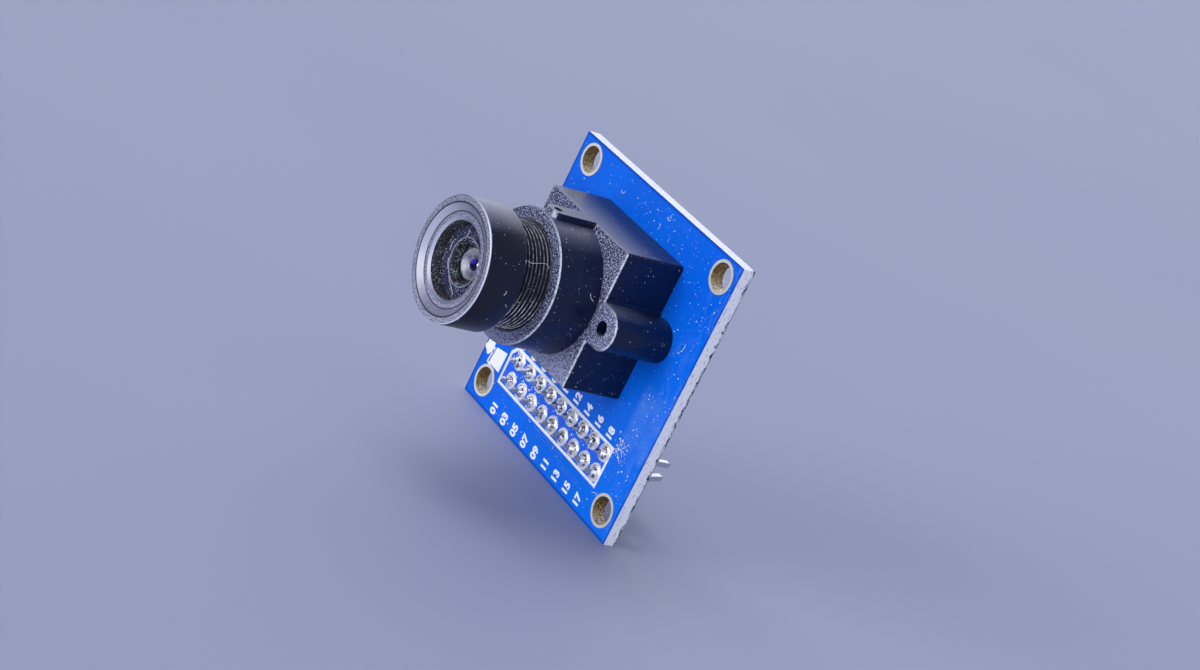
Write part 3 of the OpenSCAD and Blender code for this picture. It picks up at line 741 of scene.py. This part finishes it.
def lens_barrel():
    """The threaded tube, and the head with its chamfers, stepped rim, cone and bores."""
    start, end = -REAR_Y, HEAD_BACK - UNDERCUT
    length = end - start
    sizes = {
        "Start": start * MM,
        "Length": length * MM,
        "Pitch": THREAD_PITCH * MM,
        "Crest": THREAD_CREST * MM,
        "Root": THREAD_ROOT * MM,
        "Around": THREAD_AROUND,
        "Along": round(length / THREAD_PITCH * THREAD_ROWS_PER_TURN) + 1,
        "Axis Height": AXIS_Z * MM,
    }
    thread = bake(thread_tree(), bare_mesh("focusing_thread"), sizes, "barrel_metal")
    bm = bmesh.new()
    bm.from_mesh(thread)
    bm.transform(Matrix.Scale(1 / MM, 4))
    rim = -RIM_Y
    step, seat = rim - 0.45, rim - 3.5
    profile = [
        (THREAD_ROOT, start), (THREAD_ROOT, end), (5.6, end), (5.6, HEAD_BACK),
        (6.9, HEAD_BACK), (7.0, HEAD_BACK + 0.04), (7.05, HEAD_BACK + 0.15),
        (7.05, rim - 0.15), (7.02, rim - 0.06), (6.94, rim - 0.015), (6.88, rim),
        (6.36, rim), (6.31, rim - 0.05), (6.24, rim - 0.05), (6.18, rim - 0.03),
        (5.42, step + 0.02), (5.38, step), (5.3, step), (5.3, seat), (3.5, seat),
        (3.5, start + 1.6), (2.4, start + 1.6), (2.4, start + 0.9), (4.0, start + 0.9),
        (4.0, start),
    ]
    body = lathe(profile, THREAD_AROUND - 1)
    under = [f for f in body.faces if all(abs(off_axis(v.co) - THREAD_ROOT) < 1e-4 for v in f.verts)]
    bmesh.ops.delete(body, geom=under, context="FACES")
    spare = to_mesh("spare", body)
    bm.from_mesh(spare)
    bmesh.ops.remove_doubles(bm, verts=bm.verts[:], dist=0.002)
    bpy.data.meshes.remove(spare)
    made = drawn("threaded_barrel", bm, "barrel_metal", LENS, ["lens_barrel"], "barrel_metal", 25)
    made.data.materials.append(LOOKS["rim_metal"])
    for face in made.data.polygons:
        behind_rim = face.center.y / MM - RIM_Y
        if behind_rim < 0.6 and (face.normal.y < -0.2 or behind_rim < 0.16):
            face.material_index = 1


lens_barrel()

# ------------------------------------------------------------------ first glass, baffle and spacer
DOME_R = 2.2
DOME_EDGE_R = 1.75


def dished_baffle(floor, dome_rim, seat):
    """A floor inside the ring, a raised ridge, and a stepped funnel down to the dome."""
    rim = -RIM_Y
    profile = [(1.8, seat), (5.27, seat), (5.27, rim - 2.33), (4.37, rim - 2.33), (4.37, floor - 0.12),
               (4.28, floor), (2.9, floor), (2.8, floor + 0.16), (2.7, floor + 0.18), (2.6, floor)]
    for k in range(3):
        inner, top = 2.45 - 0.2 * k, floor - 0.04 - 0.27 * k
        profile += [(inner, top), (inner - 0.06, top - 0.1), (inner - 0.08, top - 0.25)]
    profile.append((1.8, dome_rim))
    drawn("dished_baffle", lathe(profile, 128), "baffle_metal", LENS, ["front_baffle"], "baffle_metal", 30)


def first_glass(dome_rim, seat):
    """A polished dome, hollowed behind, with a nub that fills the pupil."""
    bend = dome_rim - math.sqrt(DOME_R**2 - DOME_EDGE_R**2)
    edge_angle, steps = math.degrees(math.acos(DOME_EDGE_R / DOME_R)), 28
    angles = [math.radians(edge_angle + (89.5 - edge_angle) * i / steps) for i in range(steps + 1)]
    outline = [(3.45, 18.49), (3.45, seat - 0.04), (DOME_EDGE_R, seat - 0.04)]
    outline += [(DOME_R * math.cos(a), bend + DOME_R * math.sin(a)) for a in angles]
    outline += [(0.02, 20.2), (0.43, 20.2), (0.45, 20.76), (1.36, 20.76), (1.42, 20.3), (2.4, 20.2)]
    outline.append((2.75, 18.49))
    bm = lathe(outline, 128)
    tip = [v for v in bm.verts if off_axis(v.co) < 0.03]
    bmesh.ops.remove_doubles(bm, verts=tip, dist=0.05)
    drawn("first_glass", bm, "dome_coat", LENS, ["front_element"], "lens_glass", 40)


def spacer_cone():
    """It reaches into the hollow of the glass and closes on the back of the dome with a satin face
    round the black wall of the pupil, both cemented to the glass."""
    back, front = 15.87, 18.46
    cone = [(3.46, back), (3.46, front), (2.65, front), (2.32, 20.1), (1.33, 20.15), (1.33, 21.05),
            (1.27, 21.06), (0.46, 20.82), (0.4, 20.78), (0.4, 20.3), (0.8, 20.0), (0.85, back)]
    made = drawn("spacer_cone", lathe(cone, 96), "spacer_satin", LENS, ["front_spacer"], "spacer_metal", 30)
    made.data.materials.append(LOOKS["stop_film"])
    for face in made.data.polygons:
        middle = face.center / MM
        if off_axis(middle) < 0.44 or middle.y > -20.1:
            face.material_index = 1


BAFFLE_FLOOR, DOME_RIM, GLASS_SEAT = -RIM_Y - 1.95, -RIM_Y - 2.8, -RIM_Y - 3.48
dished_baffle(BAFFLE_FLOOR, DOME_RIM, GLASS_SEAT)
first_glass(DOME_RIM, GLASS_SEAT)
spacer_cone()


# ------------------------------------------------------------------ solder
def solder_tree():
    """Sets a wrinkled cone of solder on every point, each turned and sized a little differently."""
    tree, size = new_tree("solder_joints", Cone="Object", Seed="Int", Wrinkle="Float", Fold="Float")
    kind = "FunctionNodeRandomValue"
    turns = {"Seed": size["Seed"], 0: (0, 0, 0), 1: (0, TAU, 0)}
    sizes = {"Seed": size["Seed"], 0: (0.94, 0.8, 0.94), 1: (1.06, 1.15, 1.06)}
    laid = {
        "Points": size["Geometry"],
        "Instance": add(tree, "GeometryNodeObjectInfo", {"Object": size["Cone"]}, "Geometry"),
        "Rotation": add(tree, kind, turns, data_type="FLOAT_VECTOR"),
        "Scale": add(tree, kind, sizes, data_type="FLOAT_VECTOR"),
    }
    laid = add(tree, "GeometryNodeInstanceOnPoints", laid)
    real = add(tree, "GeometryNodeRealizeInstances", {0: laid})
    wrinkled = crumple(tree, real, size["Fold"], size["Wrinkle"], 3.0)
    return close_tree(tree, wrinkled, size["Material"])


def solder_cone():
    """One joint: a faceted cone that climbs the pin from its pad, with a pit on top."""
    profile = [(0.15, 0.42), (0.26, 0.68), (0.36, 0.72), (0.46, 0.6), (0.58, 0.4), (0.7, 0.26),
               (0.82, 0.18), (0.94, 0.14), (1.03, 0.1), (1.1, -0.02), (0.45, -0.02)]
    pit, foot, segments = 0.4, -0.02, 22
    bm = bmesh.new()
    top = bm.verts.new((0, -pit * MM, 0))
    rings = []
    for radius, height in profile:
        rings.append([])
        for i, (x, z) in enumerate(on_circle(radius, segments)):
            facet = 1 + 0.09 * math.sin(5 * TAU * i / segments + 7 * height) * min(1, max(height, 0))
            rings[-1].append(bm.verts.new(Vector((x * facet, -height, z * facet)) * MM))
    base = bm.verts.new((0, -foot * MM, 0))
    for i in range(segments):
        bm.faces.new((top, rings[0][i], rings[0][(i + 1) % segments]))
    for first, second in zip(rings, rings[1:]):
        bridge(bm, first, second)
    for i in range(segments):
        bm.faces.new((rings[-1][i], rings[-1][(i + 1) % segments], base))
    bmesh.ops.recalc_face_normals(bm, faces=bm.faces[:])
    cone = bpy.data.objects.new("solder_cone", to_mesh("solder_cone", bm))
    show(cone)
    return cone


def solder_joints():
    """Eighteen hand-made joints."""
    cone = solder_cone()
    sizes = {"Cone": cone, "Seed": 5, "Wrinkle": 0.2 * MM, "Fold": 1 / (0.5 * MM)}
    pads = bare_mesh("solder_points", [(p.x, FRONT, p.z) for p in PINS])
    result = bake(solder_tree(), pads, sizes, "solder")
    bpy.data.objects.remove(cone)
    piece("soldered_pins", result, "solder", BOARD, ["solder_joints"], "solder", 50)


solder_joints()

# ------------------------------------------------------------------ printed ink
INK_T = 0.02
FRAME_LINE = 0.48


def ink_patch(bm, corners):
    """A flat printed patch on the board's front."""
    low = [bm.verts.new((x, FRONT, z)) for x, z in corners]
    high = [bm.verts.new((x, FRONT - INK_T, z)) for x, z in corners]
    bm.faces.new(high)
    bm.faces.new(low[::-1])
    bridge(bm, low, high)


def strip_tree():
    """Draws each edge path as a flat strip, mitred at its corners, then stands it upright."""
    tree, size = new_tree("flat_strips", Width="Float", Height="Float")
    path = add(tree, "GeometryNodeMeshToCurve", {"Mesh": size["Geometry"]})
    level = add(tree, "GeometryNodeSetCurveNormal", {0: path}, mode="Z_UP")
    section = {"Width": size["Width"], "Height": size["Height"]}
    section = add(tree, "GeometryNodeCurvePrimitiveQuadrilateral", section)
    solid = {"Curve": level, "Profile Curve": section, "Fill Caps": True}
    solid = add(tree, "GeometryNodeCurveToMesh", solid)
    upright = {"Geometry": solid, "Rotation": (math.radians(90), 0, 0)}
    upright = add(tree, "GeometryNodeTransform", upright)
    return close_tree(tree, upright, size["Material"])


STRIPS = strip_tree()


def strips(name, routes, y, width, material, height=2 * INK_T):
    """Flat strips along routes of (x, z) points on the face at y; half of the height is sunk."""
    routes = [[(x, z, 0) for x, z in route] for route in routes]
    sizes = {"Width": width * MM, "Height": height * MM}
    result = bake(STRIPS, routes_mesh(name, routes), sizes, material)
    result.transform(Matrix.Translation((0, y * MM, 0)))
    piece(name, result, material, BOARD)


def printed_frame():
    """The box printed round the header, with its pin 1 mark."""
    left, right, low, high, cut = -11.95, 11.42, -13.55, -8.66, -11.1
    frame_line = [(left, low), (right, low), (right, high), (cut, high), (left, high - 0.9), (left, low)]
    strips("printed_frame", [frame_line], FRONT, FRAME_LINE, "ink")
    strips("printed_corner", [[(-15.2, -10.8), (-15.5, -12.8), (-13.6, -13.15)]], FRONT, 0.3, "ink")
    bm = bmesh.new()
    ink_patch(bm, [(-14.85, -10.6), (-12.6, -10.2), (-12.65, -12.8), (-15.1, -12.75)])
    blob = [(TAU * i / 24, 0.9 + 0.12 * math.sin(5 * i)) for i in range(24)]
    ink_patch(bm, [(-16.15 + r * math.cos(a), -11.15 + r * math.sin(a)) for a, r in blob])
    drawn("printed_mark", bm, "ink", BOARD)


NUMBER_HEIGHT, NUMBER_BOLD = 1.5, 0.07
NUMBERS_LOW, NUMBERS_HIGH = -17.1, -8.35


def printed_numbers():
    """A plain number for each pin, read upwards, beside both rows."""
    # flat text, turned to stand on the board's front and to read upwards
    turn = Matrix.Rotation(math.radians(90), 4, "X") @ Matrix.Rotation(math.radians(90), 4, "Z")
    bm = bmesh.new()
    for index, pin in enumerate(PINS):
        column, upper = index % PINS_A_ROW, index >= PINS_A_ROW
        words = bpy.data.curves.new("number", "FONT")
        words.body = f"{2 * column + (2 if upper else 1):02d}"
        words.size, words.offset = NUMBER_HEIGHT * MM, NUMBER_BOLD * MM
        words.extrude = INK_T * MM / 2
        words.resolution_u = 3
        holder = bpy.data.objects.new("number", words)
        show(holder)
        graph = bpy.context.evaluated_depsgraph_get()
        mesh = bpy.data.meshes.new_from_object(holder.evaluated_get(graph), depsgraph=graph)
        foot = NUMBERS_HIGH if upper else NUMBERS_LOW
        place = Vector((pin.x - 0.1, FRONT - INK_T / 2, foot)) * MM
        mesh.transform(Matrix.Translation(place) @ turn)
        bm.from_mesh(mesh)
        bpy.data.objects.remove(holder)
        bpy.data.meshes.remove(mesh)
    bm.transform(Matrix.Scale(1 / MM, 4))
    bmesh.ops.remove_doubles(bm, verts=bm.verts[:], dist=1e-4)
    drawn("printed_numbers", bm, "ink", BOARD)


printed_frame()
printed_numbers()

# ------------------------------------------------------------------ copper and chip joints
CHIPS = [f"capacitor_{i}" for i in range(1, 9)] + [f"resistor_{i}" for i in range(1, 5)]
REGULATORS = ["regulator_1", "regulator_2"]
PAD_T = 0.05
SUNK = -0.02  # how far pads reach into the board
END_CAP_L, END_CAP_T = 0.32, 0.012
FILLET_L, FILLET_STEPS = 0.34, 5
PAD_OUT, PAD_IN = 0.42, 0.3  # how far a chip's pad reaches past its end and under it
STUB_IN, STUB_OUT = 0.3, 1.15
LEG_GAP, LEG_REACH = 0.95, 1.12  # a regulator's legs, from its middle
LEG_PAD = Vector((0.3, 0, 0.38))
HALF_PITCH = 1.27
FAN_START, FAN_STEP = -7.2, 0.22  # where the traces from the header begin to slant
TRACE_W, VIA_R = 0.22, 0.32


def via_tree():
    """A small ring of masked copper on every point of the back face."""
    tree, size = new_tree("vias", Radius="Float", Height="Float")
    ring = {"Radius Bottom": size["Radius"], "Radius Top": 0.2 * MM}
    ring.update({"Depth": size["Height"], "Vertices": 16})
    ring = add(tree, "GeometryNodeMeshCone", ring)
    turned = {"Geometry": ring, "Rotation": (math.radians(-90), 0, 0)}
    turned = add(tree, "GeometryNodeTransform", turned)
    laid = {"Points": size["Geometry"], "Instance": turned}
    return close_tree(tree, add(tree, "GeometryNodeInstanceOnPoints", laid), size["Material"])


def slab(bm, a, b, y_low, y_high, bevel):
    """A box between two opposite corners in plan and two heights, with its edges rounded off."""
    low = Vector((min(a.x, b.x), y_low, min(a.z, b.z)))
    high = Vector((max(a.x, b.x), y_high, max(a.z, b.z)))
    made = bmesh.ops.create_cube(bm, size=1.0)["verts"]
    for v in made:
        v.co = (low + high) / 2 + v.co * (high - low)
    edges = list({e for v in made for e in v.link_edges})
    bmesh.ops.bevel(bm, geom=edges, offset=bevel, segments=2, affect="EDGES")


def fillet(bm, place, out, across, rise, width):
    """A dished ramp of solder from a chip's end down to its pad."""
    sides = []
    for side in (-0.5, 0.5):
        top = place + across * side * width
        row = [top]
        for k in range(FILLET_STEPS + 1):
            t = k / FILLET_STEPS
            row.append(top + out * FILLET_L * t + Vector((0, rise * (1 - t) ** 2.2, 0)))
        sides.append([bm.verts.new(p) for p in row])
    left, right = sides
    bm.faces.new(left)
    bm.faces.new(right[::-1])
    bridge(bm, left, right)


def chip_joints():
    """Tinned ends on the chips, the pads under them, and the solder between the two. Returns the
    short traces that leave the pads."""
    ends, joints, stubs = bmesh.new(), bmesh.new(), []
    for name in CHIPS:
        low, high = box_of(name)
        size, middle = high - low, middle_of(name)
        along = Vector((1, 0, 0)) if size.x > size.z else Vector((0, 0, 1))
        across = Vector((along.z, 0, along.x))
        half_l, half_w = max(size.x, size.z) / 2, min(size.x, size.z) / 2
        for out in (-along, along):
            tip = middle + out * half_l
            cap, pad = across * (half_w + 0.01), across * (half_w + 0.08)
            near, far = tip + out * END_CAP_T + cap, tip - out * END_CAP_L - cap
            slab(ends, near, far, 0.01, size.y + END_CAP_T, 0.05)
            slab(joints, tip + out * PAD_OUT + pad, tip - out * PAD_IN - pad, SUNK, PAD_T, 0.02)
            fillet(joints, tip + Vector((0, PAD_T, 0)), out, across, size.y * 0.6, 2 * half_w)
            stubs.append((tip + out * STUB_IN, tip + out * STUB_OUT))
    for name in REGULATORS:
        for x, way in ((-LEG_GAP, -1), (LEG_GAP, -1), (0, 1)):
            out = Vector((0, 0, way))
            tip = middle_of(name) + Vector((x, 0, 0)) + out * LEG_REACH
            slab(joints, tip - LEG_PAD, tip + LEG_PAD, SUNK, PAD_T, 0.02)
            stubs.append((tip + out * STUB_IN, tip + out * (STUB_OUT - 0.1)))
    drawn("chip_ends", ends, "tinned_lead", BOARD, slot="tinned_lead", smooth=40)
    drawn("chip_solder", joints, "solder", BOARD, slot="solder", smooth=40)
    return [[(v.x, v.z) for v in stub] for stub in stubs]


def copper():
    """The traces and vias on the back, and the few traces that show on the front."""
    routes = chip_joints()
    for index, pin in enumerate(PINS):
        lane = pin.x * 0.4
        start = [(pin.x, pin.z)]
        if index < PINS_A_ROW:
            lane += 0.5
            start += [(pin.x, pin.z + 0.6), (pin.x + HALF_PITCH, pin.z + 0.6 + HALF_PITCH)]
        side = start[-1][0]
        bend = FAN_START + FAN_STEP * abs(lane - side)
        turn_end = bend + abs(side - lane)
        finish = max(turn_end + 0.5, -1.2 if index % 2 else -2.0)
        routes.append(start + [(side, bend), (lane, turn_end), (lane, finish)])
    strips("back_traces", routes, 0, TRACE_W, "masked_copper")
    vias = bare_mesh("vias", [(x, 0, z) for x, z in (route[-1] for route in routes)])
    rings = bake(via_tree(), vias, {"Radius": VIA_R * MM, "Height": PAD_T * MM}, "masked_copper")
    piece("vias", rings, "masked_copper", BOARD, smooth=30)
    front = [[(-2.4, -14.1), (4.2, -14.1), (4.9, -14.8), (9.2, -14.8)],
             [(-1.6, -14.45), (3.6, -14.45), (4.3, -15.15), (8.8, -15.15)],
             [(13.2, -12.4), (13.2, -9.6), (14.6, -8.2), (14.6, -3.4)]]
    strips("front_traces", front, FRONT, 0.2, "masked_copper", 0.016)


copper()


# ------------------------------------------------------------------ dust and lint
def dust_tree():
    """Scatters flat flakes of uneven size over a surface, thicker in clouds."""
    lengths = dict.fromkeys(["Density", "Smallest", "Largest", "Cluster"], "Float")
    tree, size = new_tree("dust", **lengths, Seed="Int")
    clouds = add(tree, "ShaderNodeTexNoise", {"Scale": size["Cluster"], "Detail": 2.0})
    uneven = {"Value": clouds, "From Min": 0.38, "From Max": 0.66, "To Min": 0.0, "To Max": size["Density"]}
    uneven = add(tree, "ShaderNodeMapRange", uneven)
    spots = {"Mesh": size["Geometry"], "Density": uneven, "Seed": size["Seed"]}
    spots = add(tree, "GeometryNodeDistributePointsOnFaces", spots, distribute_method="RANDOM").node.outputs
    kind = "FunctionNodeRandomValue"
    chance = add(tree, kind, {"Seed": size["Seed"], 2: 0.0, 3: 1.0}, 1, data_type="FLOAT")
    # most flakes are near the smallest size
    rare = add(tree, "ShaderNodeMath", {0: chance, 1: 4.0}, operation="POWER")
    width = {"Value": rare, "To Min": size["Smallest"], "To Max": size["Largest"]}
    width = add(tree, "ShaderNodeMapRange", width)
    shape = {"Seed": size["Seed"], 0: (0.5, 0.5, 0.2), 1: (1.3, 1.3, 0.4)}
    shape = add(tree, kind, shape, data_type="FLOAT_VECTOR")
    laid = {
        "Points": spots["Points"],
        "Instance": add(tree, "GeometryNodeMeshIcoSphere", {"Radius": 0.5, "Subdivisions": 1}),
        "Rotation": spots["Rotation"],
        "Scale": add(tree, "ShaderNodeVectorMath", {0: shape, "Scale": width}, operation="SCALE"),
    }
    return close_tree(tree, add(tree, "GeometryNodeInstanceOnPoints", laid), size["Material"])


DUST = dust_tree()
MESH = {name: thing.data for name, thing in frame["nodes"].items()}
MESH.update({name: bpy.data.objects[name].data for name in ("threaded_barrel", "dished_baffle")})


def dusty(name, sources, body, density, seed, smallest, largest, cluster=3.0, keep=None):
    """Dust, by flakes to a square mm, on the faces of the sources for which keep(centre in mm) is
    true, in clouds of about cluster mm."""
    bm = bmesh.new()
    for source in sources:
        bm.from_mesh(source)
    spare = [f for f in bm.faces if keep and not keep(f.calc_center_median() / MM)]
    bmesh.ops.delete(bm, geom=spare, context="FACES")
    sizes = {
        "Density": density / MM**2,
        "Seed": seed,
        "Smallest": smallest * MM,
        "Largest": largest * MM,
        "Cluster": 1 / (cluster * MM),
    }
    piece(name, bake(DUST, to_mesh(name, bm), sizes, "dust"), "dust", body)


def front_patch(x0, x1, z0, z1):
    """A bare rectangle on the board's front, for what is scattered only there."""
    y = FRONT - 0.005
    return bare_mesh("patch", [(x0, y, z0), (x1, y, z0), (x1, y, z1), (x0, y, z1)], (), [(0, 1, 2, 3)])


def all_dust():
    """Dust settled on every front part, and flux flakes and residue round the header."""
    face = [front_patch(-16.6, 16.6, -16.8, 16.8)]
    edges = [front_patch(11.5, 16.7, -15, 16.8), front_patch(-4, 16.7, 13.4, 16.8)]
    header, splash = [front_patch(-11.6, 11.1, -13.2, -9.0)], [front_patch(11.7, 13.9, -9.4, -6.9)]
    dusty("board_dust", face, BOARD, 1.9, 3, 0.06, 0.22, 3.5)
    dusty("edge_dust", edges, BOARD, 4.0, 14, 0.06, 0.18, 1.6)
    dusty("flux_flakes", header, BOARD, 7, 31, 0.07, 0.34, 0.8)
    dusty("residue_flakes", splash, BOARD, 16, 5, 0.1, 0.42, 0.7)
    dusty("holder_dust", [MESH["lens_holder"]], BOARD, 3.6, 8, 0.04, 0.16,
          keep=lambda c: c.y < -2 and off_axis(c) > 6.3)
    dusty("barrel_dust", [MESH["threaded_barrel"]], LENS, 2.2, 12, 0.04, 0.18,
          keep=lambda c: RIM_Y + 0.2 < c.y < HOLDER_FRONT_Y - 0.4 and off_axis(c) > 5.3)
    dusty("recess_dust", [MESH["dished_baffle"], MESH["front_ring"]], LENS, 60, 21, 0.03, 0.14, 1.0,
          keep=lambda c: c.y < RIM_Y + 2.6 and off_axis(c) < 4.6)


def lint_tree():
    """Draws each edge path as a thin curled fibre."""
    tree, size = new_tree("lint", **dict.fromkeys(["Radius", "Step", "Wander", "Curl"], "Float"))
    path = add(tree, "GeometryNodeMeshToCurve", {"Mesh": size["Geometry"]})
    bent = add(tree, "GeometryNodeCurveSplineType", {0: path}, spline_type="CATMULL_ROM")
    fine = add(tree, "GeometryNodeResampleCurve", {"Curve": bent, "Length": size["Step"]}, mode="LENGTH")
    curled = crumple(tree, fine, size["Curl"], size["Wander"], 1.0)
    section = {"Radius": size["Radius"], "Resolution": 5}
    section = add(tree, "GeometryNodeCurvePrimitiveCircle", section)
    solid = {"Curve": curled, "Profile Curve": section, "Fill Caps": True}
    solid = add(tree, "GeometryNodeCurveToMesh", solid)
    return close_tree(tree, solid, size["Material"])


LINT = lint_tree()


def lint(name, strands, body, radius=0.03, wander=0.03):
    """Fibres along strands of (x, y, z) points in mm."""
    sizes = {"Radius": radius * MM, "Step": 0.1 * MM, "Wander": wander * MM, "Curl": 1 / (0.6 * MM)}
    piece(name, bake(LINT, routes_mesh(name, strands), sizes, "dust"), "dust", body, smooth=60)


def all_lint():
    """The fibres that lie on the thread, in the recess, on the barrel and on the board."""
    # It lies in the play between the crests and the holder's bore, so it passes in when the lens
    # is screwed in.
    hair_at = 5.968
    hair = [(37.2, -18.6), (35.9, -18.03), (36.5, -17.47), (37.8, -16.76), (38.6, -16.1), (36.6, -15.75),
            (34.1, -15.62)]
    around = [(math.cos(math.radians(a)), y, math.sin(math.radians(a))) for a, y in hair]
    lint("thread_hair", [[(hair_at * x, y, AXIS_Z + hair_at * z) for x, y, z in around]], LENS, 0.028, 0.02)
    floor = -BAFFLE_FLOOR - 0.04
    recess = [[(-1.72, 7.58), (-1.57, 7.14), (-1.76, 6.52)],
              [(-2.9, 3.4), (-2.64, 2.79), (-1.81, 2.1), (-0.98, 1.5), (-0.33, 1.15), (0.5, 0.7)],
              [(-3.4, 5.2), (-3.5, 4.6), (-3.3, 4.1)]]
    lint("recess_lint", [[(x, floor, z) for x, z in strand] for strand in recess], LENS)
    lint("head_lint", [[(7.08, -21.25, 4.4), (7.1, -21.1, 4.7), (7.07, -21.2, 4.95)],
                       [(7.03, -20.5, 3.42), (7.02, -20.3, 3.3), (7.0, -20.2, 3.15)]], LENS)
    lint("holder_lint", [[(7.37, -10.95, 6.95), (7.5, -10.75, 6.54), (7.58, -10.28, 6.22)],
                         [(12.42, -9.55, 5.0), (12.55, -9.6, 4.75), (12.44, -9.65, 4.45)],
                         [(12.0, -9.62, 5.95), (12.25, -9.68, 5.8), (12.3, -9.5, 5.6)]], BOARD)
    board = [[(-7.02, 14.58), (-6.7, 14.35), (-6.4, 14.5), (-6.3, 14.8)],
             [(2.3, 15.9), (2.6, 15.6), (2.9, 15.85)], [(1.5, 14.7), (1.75, 14.4), (1.6, 14.0)],
             [(14.2, 5.4), (14.35, 5.9), (14.3, 6.4)],
             [(11.5, -8.75), (12.1, -8.2), (12.9, -8.0), (13.6, -8.1)],
             [(12.1, -8.2), (12.3, -7.6), (12.8, -7.1)], [(11.8, -8.5), (12.6, -8.7), (13.2, -9.2)],
             [(12.5, -8.1), (13.1, -7.5), (13.4, -7.0)], [(12.3, -7.7), (12.0, -7.2)],
             [(12.9, -8.05), (13.3, -8.6)], [(11.6, -14.3), (12.0, -14.0), (12.5, -14.1)]]
    board = [[(x, FRONT - 0.04, z) for x, z in strand] for strand in board]
    lint("board_lint", board, BOARD, wander=0.05)


all_dust()
all_lint()

# ------------------------------------------------------------------ stage and light
FLOOR_Z = board_low.z - 0.01
FLOOR_HALF = 4000
LAMPS = {
    # name: azimuth, elevation and width in degrees as seen from the module, strength
    "key": (-5, 16, 34, 1.45),
    "top": (-75, 59, 40, 1.2),
    "behind": (-128, 20, 60, 0.9),
    "side": (57, 0, 36, 1.8),
}


def stage():
    """A pale plain floor and plain soft light."""
    sides = [(-FLOOR_HALF, -FLOOR_HALF), (FLOOR_HALF, -FLOOR_HALF)]
    sides += [(FLOOR_HALF, FLOOR_HALF), (-FLOOR_HALF, FLOOR_HALF)]
    corners = [(x, y, FLOOR_Z) for x, y in sides]
    mesh = bare_mesh("floor", corners, (), [(0, 1, 2, 3)])
    floor = bpy.data.objects.new("floor", mesh)
    show(floor)
    # Matte painted board, faintly uneven.
    mesh.materials.append(Finish("floor_paint", "#979DB6", "#9BA1B9", 120, 1.5, 0.01, 0.75).done())

    world = bpy.data.worlds.new("studio")
    bpy.context.scene.world = world
    world.use_nodes = True
    background = world.node_tree.nodes["Background"]
    background.inputs["Color"].default_value = linear("#CCD6FF")
    background.inputs["Strength"].default_value = 0.45
    for name, (azimuth, elevation, width, strength) in LAMPS.items():
        data = bpy.data.lights.new(name, "SUN")
        data.angle, data.energy = math.radians(width), strength
        lamp = bpy.data.objects.new(name, data)
        away = direction(azimuth, elevation)
        lamp.location = away * 500 * MM
        lamp.rotation_mode = "QUATERNION"
        lamp.rotation_quaternion = (-away).to_track_quat("-Z", "Y")
        show(lamp)


stage()
bpy.context.scene.view_settings.view_transform = "Standard"
